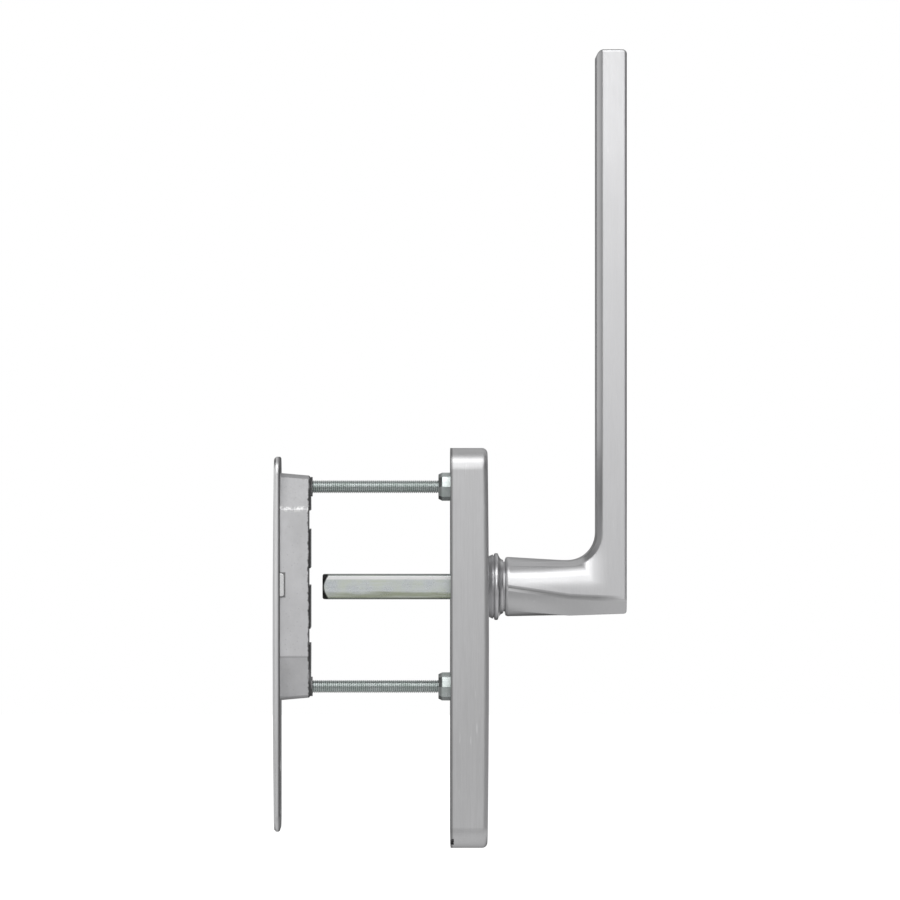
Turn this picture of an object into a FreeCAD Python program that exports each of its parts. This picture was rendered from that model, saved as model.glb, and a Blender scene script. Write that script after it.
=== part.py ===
"""Lift and slide door handle: a lever with its cover plate for the room side, two through screws,
a square spindle, and an outer plate with a flush pull. Lengths are in millimetres.

+X points from the door leaf to the room, +Z up, Y across the plates. The origin lies on the spindle's
axis in the plane where the inner plate meets the door. The lever points up at rest and turns about X.
"""
import FreeCAD, Part
import math
import os
import Sketcher

VECTOR = FreeCAD.Vector
document = FreeCAD.newDocument("LiftSlideHandle")
sheet = document.addObject("Spreadsheet::Sheet", "Sizes")


class Length:
    """A length, kept as its value and as the formula over the sheet's cells that gives it."""

    def __init__(self, value, formula):
        self.value = value
        self.formula = formula

    def __add__(self, other):
        other = length(other)
        return Length(self.value + other.value, f"({self.formula} + {other.formula})")

    def __sub__(self, other):
        other = length(other)
        return Length(self.value - other.value, f"({self.formula} - {other.formula})")

    def __mul__(self, factor):
        return Length(self.value * factor, f"({self.formula} * {factor})")

    def __truediv__(self, divisor):
        return Length(self.value / divisor, f"({self.formula} / {divisor})")

    def __neg__(self):
        return Length(-self.value, f"(0 - {self.formula})")

    def __radd__(self, other):
        return length(other) + self

    def __rsub__(self, other):
        return length(other) - self


def length(number):
    return number if isinstance(number, Length) else Length(float(number), f"{float(number)}")


rows_used = 0


def size(alias, value, note):
    """Write one driving dimension into the sheet and return it as a Length."""
    global rows_used
    rows_used += 1
    sheet.set(f"A{rows_used}", note)
    sheet.set(f"B{rows_used}", str(value))
    sheet.setAlias(f"B{rows_used}", alias)
    return Length(value, f"Sizes.{alias}")


# Door and hole pattern
leaf = size("LeafThickness", 68.0, "door leaf between the two plates")
screw_reach = size("ScrewReach", 40.0, "spindle axis to each screw")
cylinder_drop = size("CylinderDrop", 69.0, "spindle axis to the lock cylinder's axis")
cylinder_radius = size("CylinderRadius", 8.75, "round part of the cylinder hole")
cylinder_slot = size("CylinderSlotHalf", 5.1, "half the width of the cylinder hole's slot")
cylinder_bottom = size("CylinderBottom", 24.5, "cylinder axis to the lower end of its hole")

# Clearances
running = size("RunningClearance", 0.05, "radial play of the turning fits")
loose = size("LooseClearance", 0.15, "play of pieces that are only placed together")
snug = size("SnugClearance", 0.03, "play of pieces pressed or screwed into one another")

# Cover plate on the room side
plate_half = size("PlateHalfWidth", 17.0, "half the width of both plates")
cover_above = size("CoverAbove", 15.5, "cover above the upper screw")
cover_below = size("CoverBelow", 10.5, "cover below the cylinder hole")
cover_depth = size("CoverDepth", 15.2, "cover from the door to the crown of its face")
cover_crown = size("CoverCrown", 0.55, "how far the face drops from its middle to its ends")
cover_wall = size("CoverWall", 2.2, "wall of the cover")
cover_corner = size("CoverCorner", 8.5, "corner radius seen from the front")
cover_edge = size("CoverEdge", 2.2, "rounding of the front edge")
notch_height = size("NotchHeight", 2.5, "pry notch in the rear rim")
notch_depth = size("NotchDepth", 1.2, "depth of the pry notch")
notch_rise = size("NotchRise", 1.6, "pry notch above the lower end")

# Base plate under the cover
floor_thick = size("FloorThickness", 3.0, "floor of the base plate")
rim_height = size("RimHeight", 6.5, "rim of the base plate above the door")
rim_wall = size("RimWall", 1.6, "thickness of the base plate's rim and bosses")
pad_height = size("PadHeight", 5.0, "raised pad round the hub, above the door")
hub_room = size("HubRoom", 0.45, "hub inside the base plate's edge")
hub_gap = size("HubGap", 0.35, "hub below the cover's inner face")
web_back = size("WebBack", 6.5, "back of the hub's web, above the door")
pillar_radius = size("PillarRadius", 5.5, "screw pillars")
pillar_height = size("PillarHeight", 7.0, "screw pillars above the door")
cylinder_free = size("CylinderFree", 0.5, "how much wider the base plate's cylinder hole is")

# Bearing, washer, ring and detent
journal_radius = size("JournalRadius", 10.0, "journal of the lever")
journal_end = size("JournalEnd", 3.6, "inner end of the journal, above the door")
bush_wall = size("BushWall", 1.4, "wall of the bearing bush")
washer_thick = size("WasherThickness", 0.8, "thrust washer")
washer_gap = size("WasherGap", 0.3, "thrust washer inside the pocket")
circlip_thick = size("CirclipThickness", 1.1, "retaining ring")
circlip_step = size("CirclipStep", 0.7, "retaining ring inside the washer's edge")
circlip_gap = size("CirclipGap", 5.0, "opening of the retaining ring")
groove_depth = size("GrooveDepth", 0.5, "ring groove in the journal")
disc_thick = size("DiscThickness", 1.8, "detent disc")
disc_flat = size("DiscFlat", 8.5, "axis to the disc's flats")
wire_radius = size("WireRadius", 0.7, "detent wires")
wire_seat = size("WireSeat", 0.7, "wire ends beyond the pocket, above and below")
closing_thick = size("ClosingThickness", 1.2, "closing plate over the detent")
closing_lip = size("ClosingLip", 0.6, "closing plate beyond the pocket, to each side")
closing_reserve = size("ClosingReserve", 3.4, "small screws beyond the pocket")
closing_bore = size("ClosingBore", 7.5, "spindle hole in the closing plate")
closing_edge = size("ClosingEdge", 0.5, "closing plate beyond the small screws' heads")
small_shank = size("SmallShank", 1.25, "small screw's shank radius")
small_head = size("SmallHead", 2.3, "small screw's head radius")
sunk = size("Sunk", 0.1, "closing plate below the door-side face")

# Guide ring on the cover
ring_radius = size("RingRadius", 13.4, "guide ring")
ring_band = size("RingBand", 3.9, "length of the ring's cylindrical band")
ring_throat = size("RingThroat", 2.0, "length of the hollow throat before it")
ring_nose = size("RingNose", 10.7, "radius at the ring's front end")
ring_hollow = size("RingHollow", 1.4, "part of the throat that flares little")
ring_flare = size("RingFlare", 0.95, "how much that part flares")
sleeve_wall = size("SleeveWall", 2.0, "sleeve of the ring inside the cover")

# Spindle and its pin
spindle_half = size("SpindleHalf", 5.0, "half the spindle's width across flats")
spindle_edge = size("SpindleEdge", 0.7, "bevel along the spindle's edges")
spindle_gap = size("SpindleGap", 4.7, "spindle's free end to the cup")
spindle_short = size("SpindleShort", 14.8, "spindle's other end to the grip, inside the neck")
spindle_tip = size("SpindleTip", 4.6, "radius of the flat on the free end")
pin_radius = size("PinRadius", 2.0, "cross pin")
pin_place = size("PinPlace", 2.05, "cross pin's axis in front of the cover's face")

# Lever
neck_gap = size("NeckGap", 0.7, "gap between the ring and the neck")
neck_radius = size("NeckRadius", 11.9, "neck at its round end")
neck_lip = size("NeckLip", 1.0, "rounding of the neck's round end")
neck_length = size("NeckLength", 36.4, "round end of the neck to the grip")
grip_thick = size("GripThickness", 12.0, "grip from its door side to its front")
grip_half = size("GripHalfWidth", 11.0, "half the grip's width")
grip_top = size("GripTop", 214.4, "upper end of the grip")
grip_end = size("GripEndRadius", 1.7, "rounding of the grip's end at its front")
grip_crest = size("GripCrest", 3.0, "rounding of the grip's end at its door side")
grip_edge = size("GripEdge", 0.9, "rounding of the grip's front edges")
grip_bevel = size("GripBevel", 2.2, "bevel along the grip's door-side edges, the elbow and the neck's top")
elbow_radius = size("ElbowRadius", 11.0, "inside of the elbow")
heel_radius = size("HeelRadius", 1.2, "outer lower corner of the elbow")
neck_top = size("NeckTop", 10.45, "top of the neck at the elbow")
neck_bottom = size("NeckBottom", 11.4, "underside of the neck where the elbow starts")
heel_bottom = size("HeelBottom", 10.6, "underside at the elbow's outer end")
crease_elbow = size("CreaseElbow", 3.7, "crease below the axis where the elbow starts")
crease_heel = size("CreaseHeel", 5.1, "crease below the axis at the elbow's outer end")
sole_half = size("SoleHalf", 7.9, "half the width of the flat underside")

# Through screws and support lugs
screw_radius = size("ScrewRadius", 2.5, "through screws")
thread_grip = size("ThreadGrip", 8.1, "length of screw inside the cup's boss")
thread_run = size("ThreadRun", 1.3, "threaded hole beyond the screw's end")
head_radius = size("HeadRadius", 4.25, "head of a through screw")
head_height = size("HeadHeight", 3.3, "height of that head")
head_bevel = size("HeadBevel", 0.7, "bevel of that head")
socket_flat = size("SocketFlat", 2.0, "half the width across flats of the hexagon socket")
socket_depth = size("SocketDepth", 2.0, "depth of the hexagon socket")
screw_play = size("ScrewPlay", 0.25, "radial play of a screw in its clearance hole")
lug_radius = size("LugRadius", 5.65, "support lug across its corners, as a radius")
lug_length = size("LugLength", 4.8, "support lug behind the base plate")
lug_tip = size("LugTip", 4.9, "radius at the lug's end")
lug_taper = size("LugTaper", 1.5, "length of the lug's taper")
lug_seat = size("LugSeat", 0.9, "depth of the lug's seat in the base plate")
spigot_radius = size("SpigotRadius", 4.4, "spigot of the lug in the base plate")
spigot_length = size("SpigotLength", 2.9, "length of the spigot")

# Outer plate and flush pull
outer_above = size("OuterAbove", 6.5, "outer plate above the cup")
outer_below = size("OuterBelow", 3.9, "outer plate below the cylinder hole")
outer_thick = size("OuterThickness", 2.8, "outer plate at the crown of its face")
outer_crown = size("OuterCrown", 0.5, "how far that face drops towards its ends")
outer_corner = size("OuterCorner", 6.5, "corner radius of the outer plate")
outer_edge = size("OuterEdge", 0.8, "bevel of the outer plate's visible edge")
outer_relief = size("OuterRelief", 0.5, "bevel of its door-side edge")
cup_margin = size("CupMargin", 2.5, "cup inside the plate's side edges")
cup_above = size("CupAbove", 5.5, "cup beyond the screws")
cup_depth = size("CupDepth", 12.1, "cup behind the plate")
cup_draft = size("CupDraft", 1.0, "how much the cup narrows towards its back, per side")
cup_round = size("CupRound", 0.8, "bevel round the cup's back")
flange_lip = size("FlangeLip", 0.6, "flange beyond the cup's wall")
flange_thick = size("FlangeThickness", 1.9, "flange let into the plate")
pull_wall = size("PullWall", 2.1, "cup's wall beside the finger recess, at the plate")
pull_end = size("PullEnd", 7.0, "finger recess short of the screws")
pull_floor = size("PullFloor", 2.5, "wall between the recess and the cup's back")
pull_draft = size("PullDraft", 1.5, "how much the recess narrows down to its bend, per side")
pull_bend = size("PullBend", 2.2, "bevel between the recess's wall and its bottom")
boss_radius = size("BossRadius", 3.9, "screw boss on the cup's back")
boss_rise = size("BossRise", 0.7, "screw boss above the cup's back")
step_depth = size("StepDepth", 0.8, "shallow steps across the cup's back")
high_step_top = size("HighStepTop", 30.6, "upper step, its upper end")
high_step_low = size("HighStepLow", 23.0, "upper step, its lower end")
middle_step_top = size("MiddleStepTop", 7.6, "middle step, its upper end")
middle_step_low = size("MiddleStepLow", 0.5, "middle step, its lower end")
low_step_top = size("LowStepTop", -16.5, "lower step, its upper end")
low_step_low = size("LowStepLow", -22.8, "lower step, its lower end")
clip_thick = size("ClipThickness", 0.6, "leg of a retaining clip")
clip_rise = size("ClipRise", 1.7, "clip above the door-side face")
clip_top = size("ClipTop", 5.6, "clip's upper end above the axis")
clip_bottom = size("ClipBottom", 3.5, "clip's lower end below the axis")
clip_round = size("ClipRound", 1.0, "rounded corners of a clip")

# Places worked out from the sizes above, plates first
cover_top = screw_reach + cover_above
cover_bottom = cylinder_drop + cylinder_bottom + cover_below
inner_half = plate_half - cover_wall
inner_top = cover_top - cover_wall
inner_bottom = cover_bottom - cover_wall
cover_inside = cover_depth - cover_wall
base_half = inner_half - loose
base_top = inner_top - loose
base_bottom = inner_bottom - loose
cylinder_boss = cover_inside - loose
hub_height = cover_inside - hub_gap
hub_radius = base_half - hub_room
pocket_radius = hub_radius - rim_wall

# Bearing and detent, from the door outwards
closing_front = sunk + closing_thick
closing_half = pocket_radius + closing_lip
closing_screw = pocket_radius + closing_reserve
closing_reach = closing_screw + small_head + closing_edge
pad_reach = closing_reach + loose * 2
disc_back = closing_front + running * 2
disc_front = disc_back + disc_thick
wire_place = disc_flat + wire_radius + running
wire_half = pocket_radius + wire_seat
washer_radius = pocket_radius - washer_gap
washer_back = web_back - running - washer_thick
circlip_radius = washer_radius - circlip_step
circlip_back = washer_back - running * 2 - circlip_thick
bush_radius = journal_radius + running + bush_wall
sleeve_radius = journal_radius + running + sleeve_wall
ring_hole = sleeve_radius + snug
ring_face = cover_depth + ring_band
ring_front = ring_face + ring_throat

# Lever and spindle
neck_start = ring_front + neck_gap
grip_back = neck_start + neck_length
grip_front = grip_back + grip_thick
elbow_start = grip_back - elbow_radius
pin_axis = cover_depth + pin_place
square_hole = spindle_half + running
spindle_front = grip_back - spindle_short

# Outer plate, cup and screws
outer_back = -leaf
outer_face = outer_back - outer_thick
cup_reach = screw_reach + cup_above
cup_half = plate_half - cup_margin
cup_back = cup_depth - leaf
outer_top = cup_reach + outer_above
outer_bottom = cylinder_drop + cylinder_bottom + outer_below
flange_back = outer_back - flange_thick
flange_half = cup_half + flange_lip
flange_reach = cup_reach + flange_lip
pull_half = cup_half - pull_wall
pull_reach = screw_reach - pull_end
boss_end = cup_back + boss_rise
screw_end = boss_end - thread_grip
spindle_back = leaf - cup_depth - spindle_gap

finished = []


def new_body(label):
    """Start the body of one sub-part; its label names the sub-part."""
    body = document.addObject("PartDesign::Body", "Body_" + label)
    body.Label = label
    body.Placement = FreeCAD.Placement()
    finished.append(body)
    return body


def new_sketch(body, name, role, offset=0):
    """Attach a sketch to one of the body's own planes, moved along the plane's normal."""
    sketch = body.newObject("Sketcher::SketchObject", f"{name}_{body.Label}")
    plane = next(feature for feature in body.Origin.OriginFeatures if feature.Role == role)
    sketch.AttachmentSupport = [(plane, "")]
    sketch.MapMode = "FlatFace"
    offset = length(offset)
    sketch.AttachmentOffset = FreeCAD.Placement(VECTOR(0, 0, offset.value), FreeCAD.Rotation())
    sketch.setExpression("AttachmentOffset.Base.z", offset.formula)
    return sketch


def bind(sketch, kind, arguments, target):
    """Add one dimension to a sketch and bind it to its formula."""
    index = sketch.addConstraint(Sketcher.Constraint(kind, *arguments, target.value))
    sketch.setExpression(f"Constraints[{index}]", target.formula)


def pin_point(sketch, geometry, position, point):
    """Fix one point of a sketch at its two coordinates."""
    for kind, axis, coordinate in (("DistanceX", -2, point[0]), ("DistanceY", -1, point[1])):
        coordinate = length(coordinate)
        if coordinate.formula == "0.0":
            sketch.addConstraint(Sketcher.Constraint("PointOnObject", geometry, position, axis))
        else:
            bind(sketch, kind, (-1, 1, geometry, position), coordinate)


def draw_circle(sketch, x, y, radius):
    x, y, radius = length(x), length(y), length(radius)
    circle = Part.Circle(VECTOR(x.value, y.value, 0), VECTOR(0, 0, 1), radius.value)
    index = sketch.addGeometry(circle, False)
    bind(sketch, "Radius", (index,), radius)
    if x.formula == "0.0" and y.formula == "0.0":
        sketch.addConstraint(Sketcher.Constraint("Coincident", index, 3, -1, 1))
    else:
        pin_point(sketch, index, 3, (x, y))


def draw_outline(sketch, points, arcs=None):
    """Draw a closed outline. arcs gives the radius of each side that is an arc, by the side's number:
    a positive radius turns to the left on the way round and a negative one to the right."""
    arcs = arcs or {}
    points = [(length(x), length(y)) for x, y in points]
    count = len(points)
    first = sketch.GeometryCount
    starts, ends = [], []
    for side in range(count):
        near, far = points[side], points[(side + 1) % count]
        begin = VECTOR(near[0].value, near[1].value, 0)
        end = VECTOR(far[0].value, far[1].value, 0)
        if side in arcs:
            radius = length(arcs[side])
            chord = end - begin
            middle = (begin + end) * 0.5
            across = VECTOR(-chord.y, chord.x, 0).normalize()
            turn = 1 if radius.value > 0 else -1
            height = math.sqrt(max(radius.value**2 - (chord.Length / 2) ** 2, 0))
            centre = middle + across * (height * turn)
            bow = middle - (across * (abs(radius.value) - height)) * turn
            geometry = Part.Arc(begin, bow, end)
            sketch.addGeometry(geometry, False)
            # An arc is stored anticlockwise, so one that turns right starts at its far end.
            starts.append(1 if turn > 0 else 2)
            ends.append(2 if turn > 0 else 1)
        else:
            sketch.addGeometry(Part.LineSegment(begin, end), False)
            starts.append(1)
            ends.append(2)
    for side in range(count):
        after = (side + 1) % count
        joint = (first + side, ends[side], first + after, starts[after])
        sketch.addConstraint(Sketcher.Constraint("Coincident", *joint))
        pin_point(sketch, first + side, starts[side], points[side])
    for side, radius in arcs.items():
        radius = length(radius)
        half_turn = abs(VECTOR(points[side][0].value - points[(side + 1) % count][0].value,
                               points[side][1].value - points[(side + 1) % count][1].value, 0).Length
                        - 2 * abs(radius.value)) < 1e-6
        if not half_turn:
            bind(sketch, "Radius", (first + side,), radius if radius.value > 0 else -radius)
        else:
            # The two ends of a half turn already give its radius; its centre lies between them.
            ends_of_arc = (first + side, 1, first + side, 2, first + side, 3)
            sketch.addConstraint(Sketcher.Constraint("Symmetric", *ends_of_arc))


def draw_rectangle(sketch, low_x, high_x, low_y, high_y):
    draw_outline(sketch, [(low_x, low_y), (high_x, low_y), (high_x, high_y), (low_x, high_y)])


def draw_rounded(sketch, half, low, high, corner):
    """A rectangle from -half to half and from low to high, with rounded corners."""
    points = [(corner - half, low), (half - corner, low), (half, low + corner), (half, high - corner),
              (half - corner, high), (corner - half, high), (-half, high - corner), (-half, low + corner)]
    draw_outline(sketch, points, {side: corner for side in (1, 3, 5, 7)})


def draw_polygon(sketch, corners, middle, radius):
    """An even-sided outline with one corner to the side; middle is its height, radius reaches its corners."""
    turns = [2 * math.pi * number / corners for number in range(corners)]
    draw_outline(sketch, [(radius * math.cos(turn), middle + radius * math.sin(turn)) for turn in turns])


def draw_stadium(sketch, half_width, low, high):
    """An upright slot with round ends: low and high are its ends, half_width its end radius."""
    bottom, top = length(low) + half_width, length(high) - half_width
    points = [(-half_width, bottom), (half_width, bottom), (half_width, top), (-half_width, top)]
    draw_outline(sketch, points, {0: half_width, 2: half_width})


def settle(body, feature, sketches, must_cut=None):
    """Recompute a new feature. The body must stay whole, and a cut must remove something."""
    for sketch in sketches:
        sketch.Visibility = False
    document.recompute()
    if "Invalid" in feature.State or body.Shape.isNull() or not body.Shape.isValid():
        raise RuntimeError(f"{feature.Name} failed")
    if must_cut is not None and not body.Shape.Volume < must_cut - 1e-6:
        raise RuntimeError(f"{feature.Name} removes nothing")


def pad(body, sketch, thickness, middle=False, reverse=False):
    feature = body.newObject("PartDesign::Pad", "Pad_" + sketch.Name)
    feature.Profile = sketch
    thickness = length(thickness)
    feature.Length = thickness.value
    feature.setExpression("Length", thickness.formula)
    feature.SideType = "Symmetric" if middle else "One side"
    feature.Reversed = reverse
    settle(body, feature, [sketch])


def pocket(body, sketch, depth, middle=False, reverse=False):
    """Cut a sketch's outline out of the body."""
    before = body.Shape.Volume
    feature = body.newObject("PartDesign::Pocket", "Pocket_" + sketch.Name)
    feature.Profile = sketch
    depth = length(depth)
    feature.Length = depth.value
    feature.setExpression("Length", depth.formula)
    feature.SideType = "Symmetric" if middle else "One side"
    feature.Reversed = reverse
    settle(body, feature, [sketch], before)


def revolve(body, sketch, cut=False):
    """Turn a sketch about the X axis; it is drawn in the XZ plane above that axis."""
    kind = "PartDesign::Groove" if cut else "PartDesign::Revolution"
    before = body.Shape.Volume if cut else None
    feature = body.newObject(kind, "Turn_" + sketch.Name)
    feature.Profile = sketch
    feature.ReferenceAxis = (sketch, ["H_Axis"])
    feature.Angle = 360
    settle(body, feature, [sketch], before)


def loft(body, sketches, cut=False):
    """Join sketches by straight sides."""
    kind = "PartDesign::SubtractiveLoft" if cut else "PartDesign::AdditiveLoft"
    before = body.Shape.Volume if cut else None
    feature = body.newObject(kind, "Loft_" + sketches[0].Name)
    feature.Profile = sketches[0]
    feature.Sections = sketches[1:]
    feature.Ruled = True
    settle(body, feature, sketches, before)


def drafted_loft(body, half_width, reach, levels, cut=False):
    """Upright slots joined one behind the other; each level is its name, its place and how much it narrows."""
    sections = []
    for name, place, narrowing in levels:
        section = new_sketch(body, name, "YZ_Plane", place)
        draw_stadium(section, half_width - narrowing, narrowing - reach, reach - narrowing)
        sections.append(section)
    loft(body, sections, cut)


def edges_of(body, accept):
    """The names of the body's edges that a test on (edge, middle point) accepts."""
    names = []
    for number, edge in enumerate(body.Tip.Shape.Edges, 1):
        middle = edge.valueAt((edge.FirstParameter + edge.LastParameter) / 2)
        if accept(edge, middle):
            names.append(f"Edge{number}")
    if not names:
        raise RuntimeError(f"no edge to dress on {body.Label}")
    return names


def dress(body, kind, amount, accept):
    """Round or bevel the edges that the test accepts."""
    names = edges_of(body, accept)
    base = body.Tip
    feature = body.newObject("PartDesign::" + kind, f"{kind}_{body.Label}")
    feature.Base = (base, names)
    field = "Radius" if kind == "Fillet" else "Size"
    setattr(feature, field, amount.value)
    feature.setExpression(field, amount.formula)
    body.Tip = feature
    settle(body, feature, [])


def near(a, b, reach=1e-4):
    return abs(a - (b.value if isinstance(b, Length) else b)) < reach


def along(edge, axis, reach=1e-6):
    """True for a straight edge that runs along the given axis."""
    if not isinstance(edge.Curve, Part.Line):
        return False
    return abs(abs(edge.tangentAt(edge.FirstParameter).dot(axis)) - 1) < reach


X_AXIS, Y_AXIS, Z_AXIS = VECTOR(1, 0, 0), VECTOR(0, 1, 0), VECTOR(0, 0, 1)


def crown_face(body, name, end_face, apex, low, high, drop):
    """Trim a plate's face to a shallow arc over its height: apex in the middle, drop at both ends."""
    sketch = new_sketch(body, name, "XZ_Plane")
    half_chord = (high - low) / 2
    radius = Length((half_chord.value**2 + drop.value**2) / (2 * drop.value),
                    f"(({half_chord.formula})^2 + ({drop.formula})^2) / (2 * {drop.formula})")
    outward = 1 if end_face.value > 0 else -1
    beyond = apex + drop * (outward * 5)
    edge = apex - drop * outward
    points = [(edge, low), (beyond, low), (beyond, high), (edge, high)]
    # From the upper end back to the lower one the arc bows outwards.
    draw_outline(sketch, points, {3: -radius if outward > 0 else radius})
    pocket(body, sketch, plate_half * 4, middle=True)


def cylinder_hole(body, start, depth, radius, slot, bottom, reverse=False):
    """The hole for the lock cylinder: a round part with a slot below it."""
    round_part = new_sketch(body, "Round", "YZ_Plane", start)
    draw_circle(round_part, 0, -cylinder_drop, radius)
    pocket(body, round_part, depth, reverse=reverse)
    slot_part = new_sketch(body, "Slot", "YZ_Plane", start)
    end = -(cylinder_drop + bottom)
    points = [(-slot, end + slot), (slot, end + slot), (slot, -cylinder_drop), (-slot, -cylinder_drop)]
    draw_outline(slot_part, points, {0: slot})
    pocket(body, slot_part, depth, reverse=reverse)


def make_cover_plate():
    """Deep cover with a crowned face, hollow from behind, open for the ring and the lock cylinder."""
    body = new_body("cover_plate")
    outline = new_sketch(body, "Outline", "YZ_Plane")
    draw_rectangle(outline, -plate_half, plate_half, -cover_bottom, cover_top)
    pad(body, outline, cover_depth)
    dress(body, "Fillet", cover_corner, lambda edge, at: along(edge, X_AXIS))
    crown_face(body, "Crown", cover_depth, cover_depth, -cover_bottom, cover_top, cover_crown)
    front = cover_depth.value - cover_crown.value - 1e-3
    dress(body, "Fillet", cover_edge, lambda edge, at: min(v.X for v in edge.Vertexes) > front)
    inside = new_sketch(body, "Inside", "YZ_Plane")
    draw_rounded(inside, inner_half, -inner_bottom, inner_top, cover_corner - cover_wall)
    pocket(body, inside, cover_inside, reverse=True)
    ring_seat = new_sketch(body, "RingSeat", "YZ_Plane")
    draw_circle(ring_seat, 0, 0, ring_hole)
    pocket(body, ring_seat, cover_depth * 2, reverse=True)
    cylinder_hole(body, 0, cover_depth * 2, cylinder_radius, cylinder_slot, cylinder_bottom, reverse=True)
    notch = new_sketch(body, "Notch", "XZ_Plane")
    notch_low = notch_rise - cover_bottom
    draw_rectangle(notch, -notch_depth, notch_depth, notch_low, notch_low + notch_height)
    pocket(body, notch, plate_half * 4, middle=True)


def make_base_plate():
    """Die-cast tray on the door: rim, hub with the bearing, screw pillars, boss round the cylinder."""
    body = new_body("base_plate")
    outline = new_sketch(body, "Outline", "YZ_Plane")
    corner = cover_corner - cover_wall - loose
    draw_rounded(outline, base_half, -base_bottom, base_top, corner)
    pad(body, outline, rim_height)
    tray = new_sketch(body, "Tray", "YZ_Plane", floor_thick)
    tray_half = base_half - rim_wall
    draw_rounded(tray, tray_half, rim_wall - base_bottom, base_top - rim_wall, corner - rim_wall)
    pocket(body, tray, rim_height, reverse=True)
    hub_pad = new_sketch(body, "HubPad", "YZ_Plane")
    draw_rectangle(hub_pad, -hub_radius, hub_radius, -pad_reach, pad_reach)
    pad(body, hub_pad, pad_height)
    hub = new_sketch(body, "Hub", "YZ_Plane")
    draw_circle(hub, 0, 0, hub_radius)
    pad(body, hub, hub_height)
    for name, place in (("PillarUpper", screw_reach), ("PillarLower", -screw_reach)):
        pillar = new_sketch(body, name, "YZ_Plane")
        draw_circle(pillar, 0, place, pillar_radius)
        pad(body, pillar, pillar_height)
    boss = new_sketch(body, "CylinderBoss", "YZ_Plane")
    free_radius = cylinder_radius + cylinder_free
    boss_half = free_radius + rim_wall
    boss_low = -(cylinder_drop + cylinder_bottom + cylinder_free + rim_wall)
    draw_stadium(boss, boss_half, boss_low, boss_half - cylinder_drop)
    pad(body, boss, cylinder_boss)
    cylinder_hole(body, 0, cylinder_boss * 2, free_radius, cylinder_slot + cylinder_free,
                  cylinder_bottom + cylinder_free, reverse=True)
    bore = new_sketch(body, "BushBore", "YZ_Plane")
    draw_circle(bore, 0, 0, bush_radius + snug)
    pocket(body, bore, hub_height * 2, reverse=True)
    detent = new_sketch(body, "DetentPocket", "YZ_Plane")
    draw_circle(detent, 0, 0, pocket_radius)
    pocket(body, detent, web_back, reverse=True)
    for name, side in (("WireSlotNear", -1), ("WireSlotFar", 1)):
        slot = new_sketch(body, name, "YZ_Plane")
        middle = wire_place * side
        wide = wire_radius + running
        draw_rectangle(slot, middle - wide, middle + wide, -wire_half - loose, wire_half + loose)
        pocket(body, slot, disc_back + disc_thick / 2 + wire_radius + running, reverse=True)
    recess = new_sketch(body, "ClosingRecess", "YZ_Plane")
    half, reach = closing_half + loose, closing_reach + loose
    draw_rectangle(recess, -half, half, -reach, reach)
    pocket(body, recess, closing_front, reverse=True)
    for name, side in (("Upper", 1), ("Lower", -1)):
        for role, place, radius, depth in (
            ("LugSeat", screw_reach, lug_radius + loose, lug_seat),
            ("Spigot", screw_reach, spigot_radius + snug, spigot_length + loose),
            ("ScrewHole", screw_reach, screw_radius + screw_play, pillar_height * 2),
            ("SmallHole", closing_screw, small_shank + snug, pad_height * 2),
        ):
            hole = new_sketch(body, role + name, "YZ_Plane")
            draw_circle(hole, 0, place * side, radius)
            pocket(body, hole, depth, reverse=True)


def make_bearing_bush():
    """Plain bush in the base plate's hub; the lever's journal turns in it."""
    body = new_body("bearing_bush")
    ring = new_sketch(body, "Ring", "YZ_Plane", web_back)
    draw_circle(ring, 0, 0, bush_radius)
    draw_circle(ring, 0, 0, journal_radius + running)
    pad(body, ring, hub_height - web_back)


def make_thrust_washer():
    """Flat washer between the hub's web and the retaining ring."""
    body = new_body("thrust_washer")
    ring = new_sketch(body, "Ring", "YZ_Plane", washer_back)
    draw_circle(ring, 0, 0, washer_radius)
    draw_circle(ring, 0, 0, journal_radius + running * 2)
    pad(body, ring, washer_thick)


def make_retaining_ring():
    """Open spring ring in the journal's groove; it keeps the lever in its bearing."""
    body = new_body("retaining_ring")
    ring = new_sketch(body, "Ring", "YZ_Plane", circlip_back)
    draw_circle(ring, 0, 0, circlip_radius)
    draw_circle(ring, 0, 0, journal_radius - groove_depth + snug)
    pad(body, ring, circlip_thick)
    gap = new_sketch(body, "Gap", "YZ_Plane", circlip_back)
    draw_rectangle(gap, -circlip_gap / 2, circlip_gap / 2, 0, circlip_radius * 2)
    pocket(body, gap, circlip_thick * 2, reverse=True)


def make_detent_disc():
    """Disc with two flats on the spindle; the wires rest on the flats with the lever up or down."""
    body = new_body("detent_disc")
    disc = new_sketch(body, "Disc", "YZ_Plane", disc_back)
    radius = journal_radius
    rise = Length(math.sqrt(radius.value**2 - disc_flat.value**2),
                  f"sqrt(({radius.formula})^2 - ({disc_flat.formula})^2)")
    points = [(disc_flat, -rise), (disc_flat, rise), (-disc_flat, rise), (-disc_flat, -rise)]
    draw_outline(disc, points, {1: radius, 3: radius})
    draw_rectangle(disc, -square_hole, square_hole, -square_hole, square_hole)
    pad(body, disc, disc_thick)


def make_detent_spring(label, side):
    """Straight spring wire that presses on one flat of the detent disc."""
    body = new_body(label)
    wire = new_sketch(body, "Wire", "XY_Plane", -wire_half)
    draw_circle(wire, disc_back + disc_thick / 2, wire_place * side, wire_radius)
    pad(body, wire, wire_half * 2)


def make_closing_plate():
    """Thin plate that closes the detent's pocket, countersunk for its two screws."""
    body = new_body("closing_plate")
    plate = new_sketch(body, "Plate", "YZ_Plane", sunk)
    draw_rectangle(plate, -closing_half, closing_half, -closing_reach, closing_reach)
    draw_circle(plate, 0, 0, closing_bore)
    draw_circle(plate, 0, closing_screw, small_head + snug)
    draw_circle(plate, 0, -closing_screw, small_head + snug)
    pad(body, plate, closing_thick)


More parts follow.
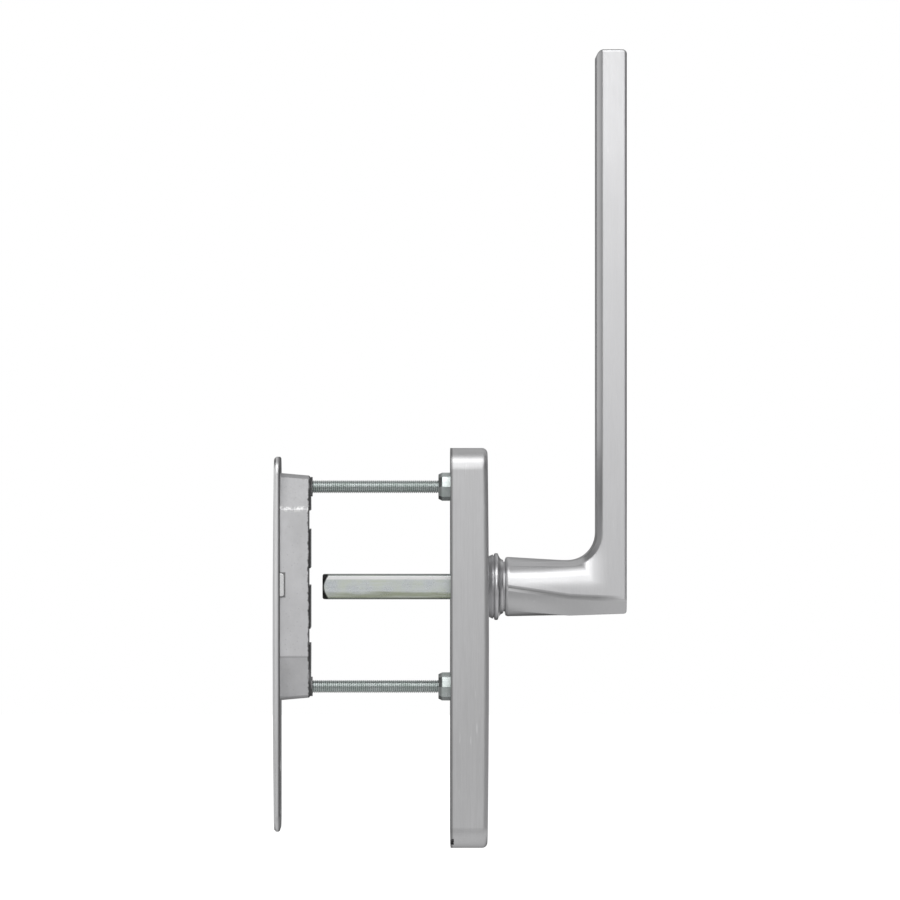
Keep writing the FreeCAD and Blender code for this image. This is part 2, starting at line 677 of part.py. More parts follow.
def make_closing_screw(label, side):
    """Small screw with a flat head, let into the closing plate."""
    body = new_body(label)
    shank = new_sketch(body, "Shank", "YZ_Plane", closing_front)
    draw_circle(shank, 0, closing_screw * side, small_shank)
    pad(body, shank, pad_height - closing_front)
    head = new_sketch(body, "Head", "YZ_Plane", sunk)
    draw_circle(head, 0, closing_screw * side, small_head)
    pad(body, head, closing_thick)


def make_guide_ring():
    """Stepped ring on the cover: a cylindrical band, a hollow throat, and a sleeve in the cover."""
    body = new_body("guide_ring")
    profile = new_sketch(body, "Profile", "XZ_Plane")
    bore = journal_radius + running
    points = [
        (hub_height + snug, bore),
        (ring_front, bore),
        (ring_front, ring_nose),
        (ring_front - ring_hollow, ring_nose + ring_flare),
        (ring_face, ring_radius),
        (cover_depth, ring_radius),
        (cover_depth, sleeve_radius),
        (hub_height + snug, sleeve_radius),
    ]
    draw_outline(profile, points)
    revolve(body, profile)


def make_lever_handle():
    """Lever: a round neck that turns into a rectangular elbow, and a long flat grip."""
    body = new_body("lever_handle")
    side = new_sketch(body, "Side", "XZ_Plane")
    points = [
        (elbow_start, -neck_bottom),
        (grip_front, -heel_bottom),
        (grip_front, grip_top),
        (grip_back, grip_top),
        (grip_back, neck_top + elbow_radius),
        (elbow_start, neck_top),
    ]
    draw_outline(side, points, {4: -elbow_radius})
    pad(body, side, grip_half * 2, middle=True)
    dress(body, "Fillet", grip_end, lambda edge, at: along(edge, Y_AXIS)
          and near(at.z, grip_top) and near(at.x, grip_front))
    dress(body, "Fillet", heel_radius, lambda edge, at: along(edge, Y_AXIS)
          and near(at.x, grip_front) and near(at.z, -heel_bottom))
    dress(body, "Chamfer", grip_bevel, lambda edge, at: near(abs(at.y), grip_half)
          and at.x < grip_back.value + 1e-3 and neck_top.value < at.z < grip_top.value - 1e-3)
    dress(body, "Fillet", grip_edge, lambda edge, at: near(abs(at.y), grip_half)
          and near(at.x, grip_front))
    crest = new_sketch(body, "Crest", "XZ_Plane")
    draw_outline(crest, [(grip_back + grip_crest, grip_top), (grip_back, grip_top),
                         (grip_back, grip_top - grip_crest)], {2: -grip_crest})
    pocket(body, crest, grip_half * 4, middle=True)

    # Below the crease the underside is bevelled on both sides, from the elbow's start to its heel.
    reach = grip_half + grip_edge * 3
    for name, sign in (("Near", -1), ("Far", 1)):
        sections = []
        for place, step, crease, sole in (
            (elbow_start, "Start", crease_elbow, neck_bottom),
            (grip_front + heel_radius, "End", crease_heel, heel_bottom),
        ):
            # Each section goes on past the sole by as much again, along the bevel's own slope.
            cut = new_sketch(body, f"Bevel{name}{step}", "YZ_Plane", place)
            low = crease - sole - sole
            far = sole_half - (grip_half - sole_half)
            points = [(grip_half * sign, -crease), (far * sign, low), (reach * sign, low),
                      (reach * sign, -crease)]
            draw_outline(cut, points)
            sections.append(cut)
        loft(body, sections, cut=True)

    # The neck runs from a circle to the elbow's section, side by side with its eight edges.
    circle = new_sketch(body, "NeckRound", "YZ_Plane", neck_start + neck_lip)
    section = new_sketch(body, "NeckElbow", "YZ_Plane", elbow_start)
    elbow_points = [
        (grip_half, -crease_elbow),
        (grip_half, neck_top - grip_bevel),
        (grip_half - grip_bevel, neck_top),
        (grip_bevel - grip_half, neck_top),
        (-grip_half, neck_top - grip_bevel),
        (-grip_half, -crease_elbow),
        (-sole_half, -neck_bottom),
        (sole_half, -neck_bottom),
    ]
    draw_outline(section, elbow_points)
    # Degrees round the circle that meet the section's eight corners in turn.
    turns = [math.radians(degrees) for degrees in (0, 44, 58, 122, 136, 180, 232, 308)]
    round_points = [(neck_radius * math.cos(turn), neck_radius * math.sin(turn)) for turn in turns]
    draw_outline(circle, round_points, {number: neck_radius for number in range(8)})
    loft(body, [circle, section])

    # Round end of the neck, journal, ring groove, square hole for the spindle and hole for the pin.
    lip = new_sketch(body, "Lip", "XZ_Plane")
    lip_end = neck_start + neck_lip
    draw_outline(lip, [
        (neck_start, 0),
        (lip_end, 0),
        (lip_end, neck_radius),
        (neck_start + neck_lip * 0.3, neck_radius - neck_lip * 0.3),
        (neck_start, neck_radius - neck_lip),
    ])
    revolve(body, lip)
    journal = new_sketch(body, "Journal", "YZ_Plane", journal_end)
    draw_circle(journal, 0, 0, journal_radius)
    pad(body, journal, neck_start - journal_end + neck_lip)
    groove = new_sketch(body, "RingGroove", "XZ_Plane")
    draw_rectangle(groove, circlip_back - snug, circlip_back + circlip_thick + snug,
                   journal_radius - groove_depth, journal_radius + groove_depth)
    revolve(body, groove, cut=True)
    square = new_sketch(body, "Square", "YZ_Plane", journal_end)
    draw_rectangle(square, -square_hole, square_hole, -square_hole, square_hole)
    pocket(body, square, spindle_front + loose - journal_end, reverse=True)
    pin_hole = new_sketch(body, "PinHole", "XZ_Plane")
    draw_circle(pin_hole, pin_axis, 0, pin_radius + snug)
    pocket(body, pin_hole, neck_radius * 4, middle=True)


def make_spindle():
    """Square spindle with bevelled edges and a turned bevel on its free end."""
    body = new_body("spindle")
    square = new_sketch(body, "Square", "YZ_Plane", -spindle_back)
    draw_rectangle(square, -spindle_half, spindle_half, -spindle_half, spindle_half)
    pad(body, square, spindle_back + spindle_front)
    dress(body, "Chamfer", spindle_edge, lambda edge, at: along(edge, X_AXIS))
    tip = new_sketch(body, "Tip", "XZ_Plane")
    around = spindle_half * math.sqrt(2)
    draw_outline(tip, [(-spindle_back, spindle_tip), (around - spindle_tip - spindle_back, around),
                       (-spindle_back, around)])
    revolve(body, tip, cut=True)
    pin_hole = new_sketch(body, "PinHole", "XZ_Plane")
    draw_circle(pin_hole, pin_axis, 0, pin_radius + snug)
    pocket(body, pin_hole, spindle_half * 4, middle=True)


def make_spindle_pin():
    """Cross pin through journal and spindle, kept in by the guide ring's bore."""
    body = new_body("spindle_pin")
    pin = new_sketch(body, "Pin", "XZ_Plane")
    draw_circle(pin, pin_axis, 0, pin_radius)
    chord = Length(math.sqrt(journal_radius.value**2 - pin_radius.value**2),
                   f"sqrt(({journal_radius.formula})^2 - ({pin_radius.formula})^2)")
    pad(body, pin, (chord - loose) * 2, middle=True)


def make_screw(label, side):
    """Through screw: its head stands on a pillar of the base plate, its end threads into the cup."""
    body = new_body(label)
    shank = new_sketch(body, "Shank", "YZ_Plane", screw_end)
    draw_circle(shank, 0, screw_reach * side, screw_radius)
    pad(body, shank, pillar_height - screw_end)
    dress(body, "Chamfer", screw_radius * 0.2, lambda edge, at: near(at.x, screw_end))
    head = new_sketch(body, "Head", "YZ_Plane", pillar_height)
    draw_circle(head, 0, screw_reach * side, head_radius)
    pad(body, head, head_height)
    dress(body, "Chamfer", head_bevel, lambda edge, at: near(at.x, pillar_height + head_height))
    socket = new_sketch(body, "Socket", "YZ_Plane", pillar_height + head_height)
    draw_polygon(socket, 6, screw_reach * side, socket_flat / math.cos(math.pi / 6))
    pocket(body, socket, socket_depth)


def make_support_lug(label, side):
    """Eight-sided lug let into the base plate's back, tapered at its end, with a spigot in the plate."""
    body = new_body(label)
    middle = screw_reach * side
    tip = new_sketch(body, "Tip", "YZ_Plane", -lug_length)
    draw_polygon(tip, 8, middle, lug_tip)
    shoulder = new_sketch(body, "Shoulder", "YZ_Plane", lug_taper - lug_length)
    draw_polygon(shoulder, 8, middle, lug_radius)
    loft(body, [tip, shoulder])
    pad(body, shoulder, lug_length - lug_taper + lug_seat)
    spigot = new_sketch(body, "Spigot", "YZ_Plane", lug_seat)
    draw_circle(spigot, 0, middle, spigot_radius)
    pad(body, spigot, spigot_length - lug_seat)
    bore = new_sketch(body, "Bore", "YZ_Plane", -lug_length)
    draw_circle(bore, 0, middle, screw_radius + screw_play)
    pocket(body, bore, lug_length + spigot_length, reverse=True)


def make_outer_plate():
    """Outer plate with a crowned face, a stepped opening for the cup and the cylinder's hole."""
    body = new_body("outer_plate")
    outline = new_sketch(body, "Outline", "YZ_Plane", outer_face)
    draw_rectangle(outline, -plate_half, plate_half, -outer_bottom, outer_top)
    pad(body, outline, outer_thick)
    dress(body, "Fillet", outer_corner, lambda edge, at: along(edge, X_AXIS))
    crown_face(body, "Crown", outer_face, outer_face, -outer_bottom, outer_top, outer_crown)
    front = outer_face.value + outer_crown.value + 1e-3
    dress(body, "Chamfer", outer_edge, lambda edge, at: max(v.X for v in edge.Vertexes) < front)
    dress(body, "Chamfer", outer_relief, lambda edge, at: near(at.x, outer_back))
    window = new_sketch(body, "Window", "YZ_Plane", outer_back)
    draw_stadium(window, pull_half + loose, -pull_reach - loose, pull_reach + loose)
    pocket(body, window, outer_thick * 2)
    rebate = new_sketch(body, "Rebate", "YZ_Plane", outer_back)
    half, reach = flange_half + snug, flange_reach + snug
    draw_stadium(rebate, half, -reach, reach)
    pocket(body, rebate, flange_thick + snug)
    for name, sign in (("ClipNotchNear", -1), ("ClipNotchFar", 1)):
        notch = new_sketch(body, name, "YZ_Plane", outer_back)
        outer_wall = flange_half + snug * 3 + clip_thick
        points = [(cup_half * sign, -clip_bottom - snug), (outer_wall * sign, -clip_bottom - snug),
                  (outer_wall * sign, clip_top + snug), (cup_half * sign, clip_top + snug)]
        draw_outline(notch, points)
        pocket(body, notch, flange_thick + snug)
    cylinder_hole(body, outer_back, outer_thick * 2, cylinder_radius, cylinder_slot, cylinder_bottom)


def make_flush_cup():
    """Cast cup behind the outer plate: finger recess, let-in flange, threaded bosses for the screws."""
    body = new_body("flush_cup")
    drafted_loft(body, cup_half, cup_reach, (("Root", outer_back, length(0)),
                                             ("Shoulder", cup_back - cup_round, cup_draft),
                                             ("Back", cup_back, cup_draft + cup_round)))
    flange = new_sketch(body, "Flange", "YZ_Plane", flange_back)
    draw_stadium(flange, flange_half, -flange_reach, flange_reach)
    pad(body, flange, flange_thick)
    pull_bottom = cup_back - pull_floor
    drafted_loft(body, pull_half, pull_reach, (("Mouth", flange_back, length(0)),
                                               ("Bend", pull_bottom - pull_bend, pull_draft),
                                               ("Bottom", pull_bottom, pull_draft + pull_bend)), cut=True)
    for name, low, high in (("High", high_step_low, high_step_top), ("Middle", middle_step_low, middle_step_top),
                            ("Low", low_step_low, low_step_top)):
        step = new_sketch(body, f"Step{name}", "XZ_Plane")
        draw_rectangle(step, cup_back - step_depth, cup_back, low, high)
        pocket(body, step, cup_half * 4, middle=True)
    for name, side in (("Upper", 1), ("Lower", -1)):
        place = screw_reach * side
        boss = new_sketch(body, "Boss" + name, "YZ_Plane", cup_back)
        draw_circle(boss, 0, place, boss_radius)
        pad(body, boss, boss_rise)
        hole = new_sketch(body, "Thread" + name, "YZ_Plane", boss_end)
        draw_circle(hole, 0, place, screw_radius + snug)
        pocket(body, hole, thread_grip + thread_run)


def make_cup_clip(label, side):
    """Small clip over the cup's flange, its leg in a notch of the outer plate."""
    body = new_body(label)
    profile = new_sketch(body, "Profile", "XY_Plane", -clip_bottom)
    wall, leg = cup_half + snug, flange_half + snug
    outside = leg + clip_thick
    points = [
        (outer_back + snug, wall * side),
        (outer_back + clip_rise, wall * side),
        (outer_back + clip_rise, outside * side),
        (flange_back + snug, outside * side),
        (flange_back + snug, leg * side),
        (outer_back + snug, leg * side),
    ]
    draw_outline(profile, points)
    pad(body, profile, clip_top + clip_bottom)
    dress(body, "Fillet", clip_round, lambda edge, at: along(edge, Y_AXIS)
          and near(at.x, outer_back + clip_rise))


make_cover_plate()
make_base_plate()
make_bearing_bush()
make_thrust_washer()
make_retaining_ring()
make_detent_disc()
for label, side in (("detent_spring_near", -1), ("detent_spring_far", 1)):
    make_detent_spring(label, side)
make_closing_plate()
for label, side in (("closing_screw_upper", 1), ("closing_screw_lower", -1)):
    make_closing_screw(label, side)
make_guide_ring()
make_lever_handle()
make_spindle()
make_spindle_pin()
for label, side in (("through_screw_upper", 1), ("through_screw_lower", -1)):
    make_screw(label, side)
for label, side in (("support_lug_upper", 1), ("support_lug_lower", -1)):
    make_support_lug(label, side)
make_outer_plate()
make_flush_cup()
for label, side in (("cup_clip_near", -1), ("cup_clip_far", 1)):
    make_cup_clip(label, side)

document.recompute()
for item in document.Objects:
    if {"Invalid", "Error"} & set(item.State):
        raise RuntimeError(f"{item.Name} failed: {item.State}")
os.makedirs("parts", exist_ok=True)
for piece in finished:
    if piece.Shape.isNull() or not piece.Shape.isValid():
        raise RuntimeError(f"{piece.Label} has no valid shape")
    if len(piece.Shape.Solids) != 1:
        raise RuntimeError(f"{piece.Label} is not one solid")
    piece.Shape.exportStep(f"parts/{piece.Label}.step")
    box = piece.Shape.BoundBox
    print(f"{piece.Label}: volume {piece.Shape.Volume:.1f}, x {box.XMin:.2f} to {box.XMax:.2f}, "
          f"y {box.YMin:.2f} to {box.YMax:.2f}, z {box.ZMin:.2f} to {box.ZMax:.2f}")
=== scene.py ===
import math

import bpy
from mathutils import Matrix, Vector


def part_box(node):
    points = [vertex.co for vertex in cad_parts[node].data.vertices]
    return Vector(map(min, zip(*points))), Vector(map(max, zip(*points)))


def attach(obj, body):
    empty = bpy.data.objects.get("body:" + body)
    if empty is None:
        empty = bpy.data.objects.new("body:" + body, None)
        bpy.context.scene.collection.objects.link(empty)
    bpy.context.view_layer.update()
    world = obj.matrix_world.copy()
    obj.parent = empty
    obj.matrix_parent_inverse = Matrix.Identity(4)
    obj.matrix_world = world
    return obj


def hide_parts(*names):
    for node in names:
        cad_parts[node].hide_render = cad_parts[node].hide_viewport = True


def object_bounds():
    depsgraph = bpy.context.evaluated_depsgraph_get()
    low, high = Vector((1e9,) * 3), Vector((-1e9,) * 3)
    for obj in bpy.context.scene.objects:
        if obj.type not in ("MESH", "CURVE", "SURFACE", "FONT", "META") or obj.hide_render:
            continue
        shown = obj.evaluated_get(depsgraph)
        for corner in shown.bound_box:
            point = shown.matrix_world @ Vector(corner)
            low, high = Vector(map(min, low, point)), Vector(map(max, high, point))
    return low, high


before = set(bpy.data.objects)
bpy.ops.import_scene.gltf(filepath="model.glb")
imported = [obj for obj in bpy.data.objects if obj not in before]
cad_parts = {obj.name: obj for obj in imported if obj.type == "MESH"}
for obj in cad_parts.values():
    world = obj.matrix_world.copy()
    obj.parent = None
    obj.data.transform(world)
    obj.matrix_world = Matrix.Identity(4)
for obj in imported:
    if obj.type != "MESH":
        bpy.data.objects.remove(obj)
cad_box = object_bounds()
MM = 0.001


# Lever handle: one aluminium casting, ground, blasted and anodised satin. Its neck passes from round
# to rectangular, and the long grip has a crisp bevel along its door side. The neck turns in the base
# plate's bush. Fine upright grinding lines and a few soft handling marks lie on the metal.
def add(tree, kind, **settings):
    """Add a node of a kind, with its settings."""
    node = tree.nodes.new(kind)
    for name, value in settings.items():
        setattr(node, name, value)
    return node


def feed(tree, socket, value):
    """Give a socket another node's output, a colour without its alpha, a vector or a number."""
    if isinstance(value, bpy.types.NodeSocket):
        tree.links.new(value, socket)
    elif socket.type == "RGBA":
        socket.default_value = (*value, 1.0)
    else:
        socket.default_value = value


def math_step(tree, operation, *values):
    """Work through the values from left to right with Math nodes; one value alone stands by itself."""
    result = values[0]
    for value in values[1:] or (0.0,):
        node = add(tree, "ShaderNodeMath", operation=operation)
        feed(tree, node.inputs[0], result)
        feed(tree, node.inputs[1], value)
        result = node.outputs[0]
    return result


def spread(tree, value, low, high, to_low=0.0, to_high=1.0, ease="LINEAR"):
    """Map a value's range low..high to another one, and stop at its ends."""
    node = add(tree, "ShaderNodeMapRange", clamp=True, interpolation_type=ease)
    for label, given in (("Value", value), ("From Min", low), ("From Max", high),
                         ("To Min", to_low), ("To Max", to_high)):
        feed(tree, node.inputs[label], given)
    return node.outputs["Result"]


def band(tree, value, rise, fall, strength=1.0):
    """Mask that rises over one span of a value and falls again over another."""
    return math_step(tree, "MULTIPLY", spread(tree, value, *rise, 0.0, strength),
                     spread(tree, value, *fall, 1.0, 0.0))


def away_from(tree, value, place=0.0):
    """How far a value is from a place, whichever way."""
    return math_step(tree, "ABSOLUTE", math_step(tree, "SUBTRACT", value, place))


def shared_out(tree, first, share, second):
    """Sum of a share of the first value and the rest of the second."""
    return math_step(tree, "ADD", math_step(tree, "MULTIPLY", first, share),
                     math_step(tree, "MULTIPLY", second, 1.0 - share))


def object_place(tree):
    """Places on the piece, in its own axes."""
    return add(tree, "ShaderNodeTexCoord").outputs["Object"]


def axes(tree, vector):
    """A vector's three parts: along the spindle, across the plates and up."""
    node = add(tree, "ShaderNodeSeparateXYZ")
    feed(tree, node.inputs[0], vector)
    return tuple(node.outputs)


def blend_colours(tree, mask, first, second):
    """Go from the first colour to the second as the mask goes from 0 to 1."""
    node = add(tree, "ShaderNodeMix", data_type="RGBA")
    for index, value in ((0, mask), (6, first), (7, second)):
        feed(tree, node.inputs[index], value)
    return node.outputs[2]


def lay_over(material, mask, colour):
    """Lay a colour over what the material's base colour is so far."""
    tree = material.node_tree
    base = tree.nodes["Principled BSDF"].inputs["Base Color"]
    feed(tree, base, blend_colours(tree, mask, base.links[0].from_socket, colour))


def new_group(name, numbers, outputs):
    """Start a node group: numbers are its inputs with their values, after the vector that it reads."""
    group = bpy.data.node_groups.new(name, "ShaderNodeTree")
    group.interface.new_socket("Vector", in_out="INPUT", socket_type="NodeSocketVector")
    for label, value in numbers.items():
        kind = "NodeSocketVector" if isinstance(value, tuple) else "NodeSocketFloat"
        socket = group.interface.new_socket(label, in_out="INPUT", socket_type=kind)
        socket.default_value = value
    for label in outputs:
        group.interface.new_socket(label, in_out="OUTPUT", socket_type="NodeSocketFloat")
    return group, add(group, "NodeGroupInput").outputs, add(group, "NodeGroupOutput").inputs


def place_group(tree, group, vector, **numbers):
    """Put a node group in a tree with its own numbers, and give its outputs."""
    node = add(tree, "ShaderNodeGroup", node_tree=group)
    feed(tree, node.inputs["Vector"], vector)
    for label, value in numbers.items():
        node.inputs[label].default_value = value
    return node.outputs


def stretched_noise(tree, vector, stretch, scale, detail, roughness=0.55):
    """Noise over coordinates that are multiplied by stretch."""
    stretched = add(tree, "ShaderNodeVectorMath", operation="MULTIPLY")
    feed(tree, stretched.inputs[0], vector)
    feed(tree, stretched.inputs[1], stretch)
    noise = add(tree, "ShaderNodeTexNoise", noise_dimensions="3D")
    for label, value in (("Vector", stretched.outputs[0]), ("Scale", scale), ("Detail", detail),
                         ("Roughness", roughness)):
        feed(tree, noise.inputs[label], value)
    return noise.outputs["Fac"]


# Grinding lines run where Stretch is small; Lines is their brightness and Clouds the soft variation.
ground, ground_in, ground_out = new_group("grinding_lines", {"Stretch": (1.0, 1.0, 0.03)},
                                          ("Lines", "Clouds"))
fine = stretched_noise(ground, ground_in["Vector"], ground_in["Stretch"], 5200.0, 3.0, 0.7)
broad = stretched_noise(ground, ground_in["Vector"], ground_in["Stretch"], 1500.0, 2.0)
feed(ground, ground_out["Lines"], spread(ground, shared_out(ground, fine, 0.6, broad), 0.32, 0.68))
clouds = stretched_noise(ground, ground_in["Vector"], (1.0, 1.0, 0.35), 45.0, 4.0, 0.6)
feed(ground, ground_out["Clouds"], spread(ground, clouds, 0.3, 0.7))

# Handling marks are sparse short scratches and faint smudges. The scratches keep to patches.
marks, marks_in, marks_out = new_group("handling_marks", {"Amount": 0.5}, ("Scratches", "Smudges"))
hairs = stretched_noise(marks, marks_in["Vector"], (1.0, 1.0, 0.12), 900.0, 1.0)
patches = stretched_noise(marks, marks_in["Vector"], (1.0, 1.0, 1.0), 70.0, 2.0)
scratched = math_step(marks, "MULTIPLY", spread(marks, hairs, 0.70, 0.76),
                      spread(marks, patches, 0.52, 0.62), marks_in["Amount"])
feed(marks, marks_out["Scratches"], scratched)
smudges = stretched_noise(marks, marks_in["Vector"], (1.0, 1.0, 0.6), 28.0, 3.0)
feed(marks, marks_out["Smudges"], spread(marks, smudges, 0.4, 0.72))


def start_material(name, **values):
    """Start a material: give it, its nodes and the inputs of its Principled BSDF."""
    material = bpy.data.materials.new(name)
    material.use_nodes = True
    shader = material.node_tree.nodes["Principled BSDF"].inputs
    for label, value in values.items():
        shader[label.replace("_", " ")].default_value = value
    return material, material.node_tree, shader


def raise_relief(tree, height, strength, depth, edge):
    """Raise a height on normals that are rounded along the piece's sharp edges."""
    soft_edge = add(tree, "ShaderNodeBevel", samples=6)
    feed(tree, soft_edge.inputs["Radius"], edge)
    relief = add(tree, "ShaderNodeBump")
    for label, value in (("Strength", strength), ("Distance", depth), ("Height", height),
                         ("Normal", soft_edge.outputs["Normal"])):
        feed(tree, relief.inputs[label], value)
    feed(tree, tree.nodes["Principled BSDF"].inputs["Normal"], relief.outputs["Normal"])


def satin_metal(name, dark, light, stretch, roughness, bump, scratches=0.5, edge=0.4 * MM):
    """Satin metal: grinding lines in colour, roughness and height, with faint marks over them."""
    material, tree, shader = start_material(name, Metallic=1.0)
    place = object_place(tree)
    grinding = place_group(tree, ground, place, Stretch=stretch)
    handling = place_group(tree, marks, place, Amount=scratches)
    tone = shared_out(tree, grinding["Lines"], 0.62, grinding["Clouds"])
    feed(tree, shader["Base Color"], blend_colours(tree, tone, dark, light))
    lay_over(material, handling["Scratches"], tuple(min(1.0, channel * 1.18) for channel in light))
    rough = spread(tree, grinding["Lines"], 0.0, 1.0, roughness - 0.05, roughness + 0.05)
    smudged = math_step(tree, "MULTIPLY", handling["Smudges"], 0.05)
    feed(tree, shader["Roughness"], math_step(tree, "ADD", rough, smudged))
    raise_relief(tree, grinding["Lines"], strength=bump, depth=0.02 * MM, edge=edge)
    return material


def dress_node(node, material):
    """Put one material on a CAD node."""
    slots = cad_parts[node].data.materials
    slots.clear()
    slots.append(material)


# The crease along the neck is a shallow rolled groove. It falls from the neck's round end to the
# elbow and a little further to the heel, where it fades, on both sides alike. Painted shade
# darkens the flank below it.
crease_start, elbow, heel = 21.8 * MM, 47.2 * MM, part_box("lever_handle")[1][0]
fall_to_elbow, fall_to_heel = 3.7 * MM, 1.1 * MM
groove, groove_in, groove_out = new_group("crease_groove", {"Half Width": 1.2 * MM}, ("Valley", "Below"))
along, across, up = axes(groove, groove_in["Vector"])
crease_height = math_step(groove, "ADD", spread(groove, along, crease_start, elbow, 0.0, -fall_to_elbow),
                          spread(groove, along, elbow, heel, 0.0, -fall_to_heel))
over_crease = math_step(groove, "SUBTRACT", up, crease_height)
share = math_step(groove, "DIVIDE", away_from(groove, over_crease), groove_in["Half Width"])
beside = spread(groove, share, 0.0, 1.0, 1.0, 0.0)
outside_ring = spread(groove, along, 22.2 * MM, 23.2 * MM)
on_side = spread(groove, away_from(groove, across), 7.0 * MM, 8.5 * MM)
before_heel = spread(groove, along, heel - 12.0 * MM, heel - 1.5 * MM, 1.0, 0.0)
feed(groove, groove_out["Valley"], math_step(groove, "MULTIPLY", beside, outside_ring, on_side, before_heel))
flank_shade = spread(groove, over_crease, -1.2 * MM, -0.3 * MM, 1.0, 0.0)
feed(groove, groove_out["Below"], math_step(groove, "MULTIPLY", flank_shade, outside_ring))

# The flank above the crease isn't flat: it stays rounded till it meets the grip. Lean is how far its
# level normal has to tip up there, as a share of its length. It grows upwards from the crease.
flank, flank_in, flank_out = new_group("crowned_flank", {"Reach": 13.0 * MM}, ("Lean",))
along, _, up = axes(flank, flank_in["Vector"])
above = math_step(flank, "MAXIMUM", math_step(flank, "ADD", up, 2.2 * MM), 0.0)
lean = math_step(flank, "POWER", math_step(flank, "DIVIDE", above, flank_in["Reach"]), 2.2)
lean = math_step(flank, "MULTIPLY", lean, spread(flank, along, 36.0 * MM, 54.0 * MM, 1.8, 1.35))
most_lean = spread(flank, along, 49.5 * MM, 57.5 * MM, 1.3, 0.12, ease="SMOOTHSTEP")
lean = math_step(flank, "MINIMUM", lean, most_lean)
after_ring = spread(flank, along, 21.5 * MM, 24.0 * MM, ease="SMOOTHSTEP")
before_back = spread(flank, along, 54.0 * MM, 64.0 * MM, 1.0, 0.0, ease="SMOOTHSTEP")
below_grip = spread(flank, up, 10.0 * MM, 18.0 * MM, 1.0, 0.0, ease="SMOOTHSTEP")
feed(flank, flank_out["Lean"], math_step(flank, "MULTIPLY", lean, after_ring, before_back, below_grip))

lever_satin = satin_metal("lever_satin", dark=(0.68, 0.68, 0.69), light=(0.77, 0.77, 0.78),
                          stretch=(1.0, 1.0, 0.05), roughness=0.34, bump=0.12, edge=1.0 * MM)
lever_tree = lever_satin.node_tree
lever_place = object_place(lever_tree)
crease = place_group(lever_tree, groove, lever_place)
crown = place_group(lever_tree, flank, lever_place)
# Painted shade: the flank below the crease is darkened a little, and the groove's valley more.
lay_over(lever_satin, math_step(lever_tree, "MULTIPLY", crease["Below"], 0.15), (0.06, 0.06, 0.055))
lay_over(lever_satin, math_step(lever_tree, "MULTIPLY", crease["Valley"], 0.7), (0.22, 0.22, 0.22))


def change_axes(tree, direction, start, end):
    """Turn a direction from the world's axes to the piece's own, or back."""
    node = add(tree, "ShaderNodeVectorTransform", vector_type="VECTOR", convert_from=start, convert_to=end)
    feed(tree, node.inputs[0], direction)
    return node.outputs[0]


# Only what the ground normal lacks of the lean is added to it.
lever_normal = lever_tree.nodes["Principled BSDF"].inputs["Normal"]
ground_normal = lever_normal.links[0].from_socket
tipped_along, _, tipped_up = axes(lever_tree, change_axes(lever_tree, ground_normal, "WORLD", "OBJECT"))
has_lean = math_step(lever_tree, "MAXIMUM", tipped_up, 0.0)
lacks_lean = math_step(lever_tree, "MAXIMUM", math_step(lever_tree, "SUBTRACT", crown["Lean"], has_lean), 0.0)
upward = add(lever_tree, "ShaderNodeCombineXYZ")
feed(lever_tree, upward.inputs["Z"], lacks_lean)
leaning = add(lever_tree, "ShaderNodeVectorMath", operation="ADD")
feed(lever_tree, leaning.inputs[0], ground_normal)
feed(lever_tree, leaning.inputs[1], change_axes(lever_tree, upward.outputs[0], "OBJECT", "WORLD"))
crowned = add(lever_tree, "ShaderNodeVectorMath", operation="NORMALIZE")
feed(lever_tree, crowned.inputs[0], leaning.outputs[0])

# Painted shade darkens the coat's colour where the grip's outer edges round over, and towards its bevel's
# inner edge.
along, _, up = axes(lever_tree, lever_place)
rounding, rounded_over = (0.66, 0.80), (0.95, 0.99)
grip_edge_shade = math_step(lever_tree, "MAXIMUM", band(lever_tree, tipped_up, rounding, rounded_over, 0.85),
                      band(lever_tree, tipped_along, rounding, rounded_over, 0.6),
                      band(lever_tree, along, (58.3 * MM, 60.2 * MM), (60.4 * MM, 60.7 * MM), 0.40))
on_grip = spread(lever_tree, up, 18.0 * MM, 34.0 * MM)
lay_over(lever_satin, math_step(lever_tree, "MULTIPLY", grip_edge_shade, on_grip), (0.08, 0.08, 0.08))
rolled = add(lever_tree, "ShaderNodeBump", invert=True)
for label, value in (("Strength", 0.6), ("Distance", 0.35 * MM), ("Height", crease["Valley"]),
                     ("Normal", crowned.outputs[0])):
    feed(lever_tree, rolled.inputs[label], value)
feed(lever_tree, lever_normal, rolled.outputs["Normal"])
dress_node("lever_handle", lever_satin)


# Guide ring: turned aluminium in the cover's finish, pressed into the cover round the lever's neck.
# Turning leaves fine lines round it. From the cover outwards come a plain band, a fine groove, a
# rounded bead and a hollow throat.
def turned(name, profile, steps, material):
    """Turn a closed outline of (place, radius) pairs about the spindle's axis, ring after ring."""
    bpy.ops.object.select_all(action="DESELECT")
    place, radius = profile[0]
    bpy.ops.mesh.primitive_circle_add(vertices=steps, radius=radius, location=(place, 0.0, 0.0),
                                      rotation=(0.0, math.pi / 2, 0.0))
    piece = bpy.context.active_object
    piece.name = name
    bpy.ops.object.transform_apply()
    bpy.ops.object.mode_set(mode="EDIT")
    bpy.ops.mesh.select_all(action="SELECT")
    for new_place, new_radius in profile[1:]:
        bpy.ops.mesh.extrude_region_move(TRANSFORM_OT_translate={"value": (new_place - place, 0.0, 0.0)})
        widen = new_radius / radius
        bpy.ops.transform.resize(value=(1.0, widen, widen), center_override=(new_place, 0.0, 0.0))
        place, radius = new_place, new_radius
    bpy.ops.mesh.select_all(action="DESELECT")
    bpy.ops.mesh.select_non_manifold()
    bpy.ops.mesh.bridge_edge_loops()
    bpy.ops.mesh.select_all(action="SELECT")
    bpy.ops.mesh.normals_make_consistent(inside=False)
    bpy.ops.object.mode_set(mode="OBJECT")
    bpy.ops.object.shade_smooth_by_angle(angle=math.radians(28))
    piece.data.materials.append(material)
    return piece


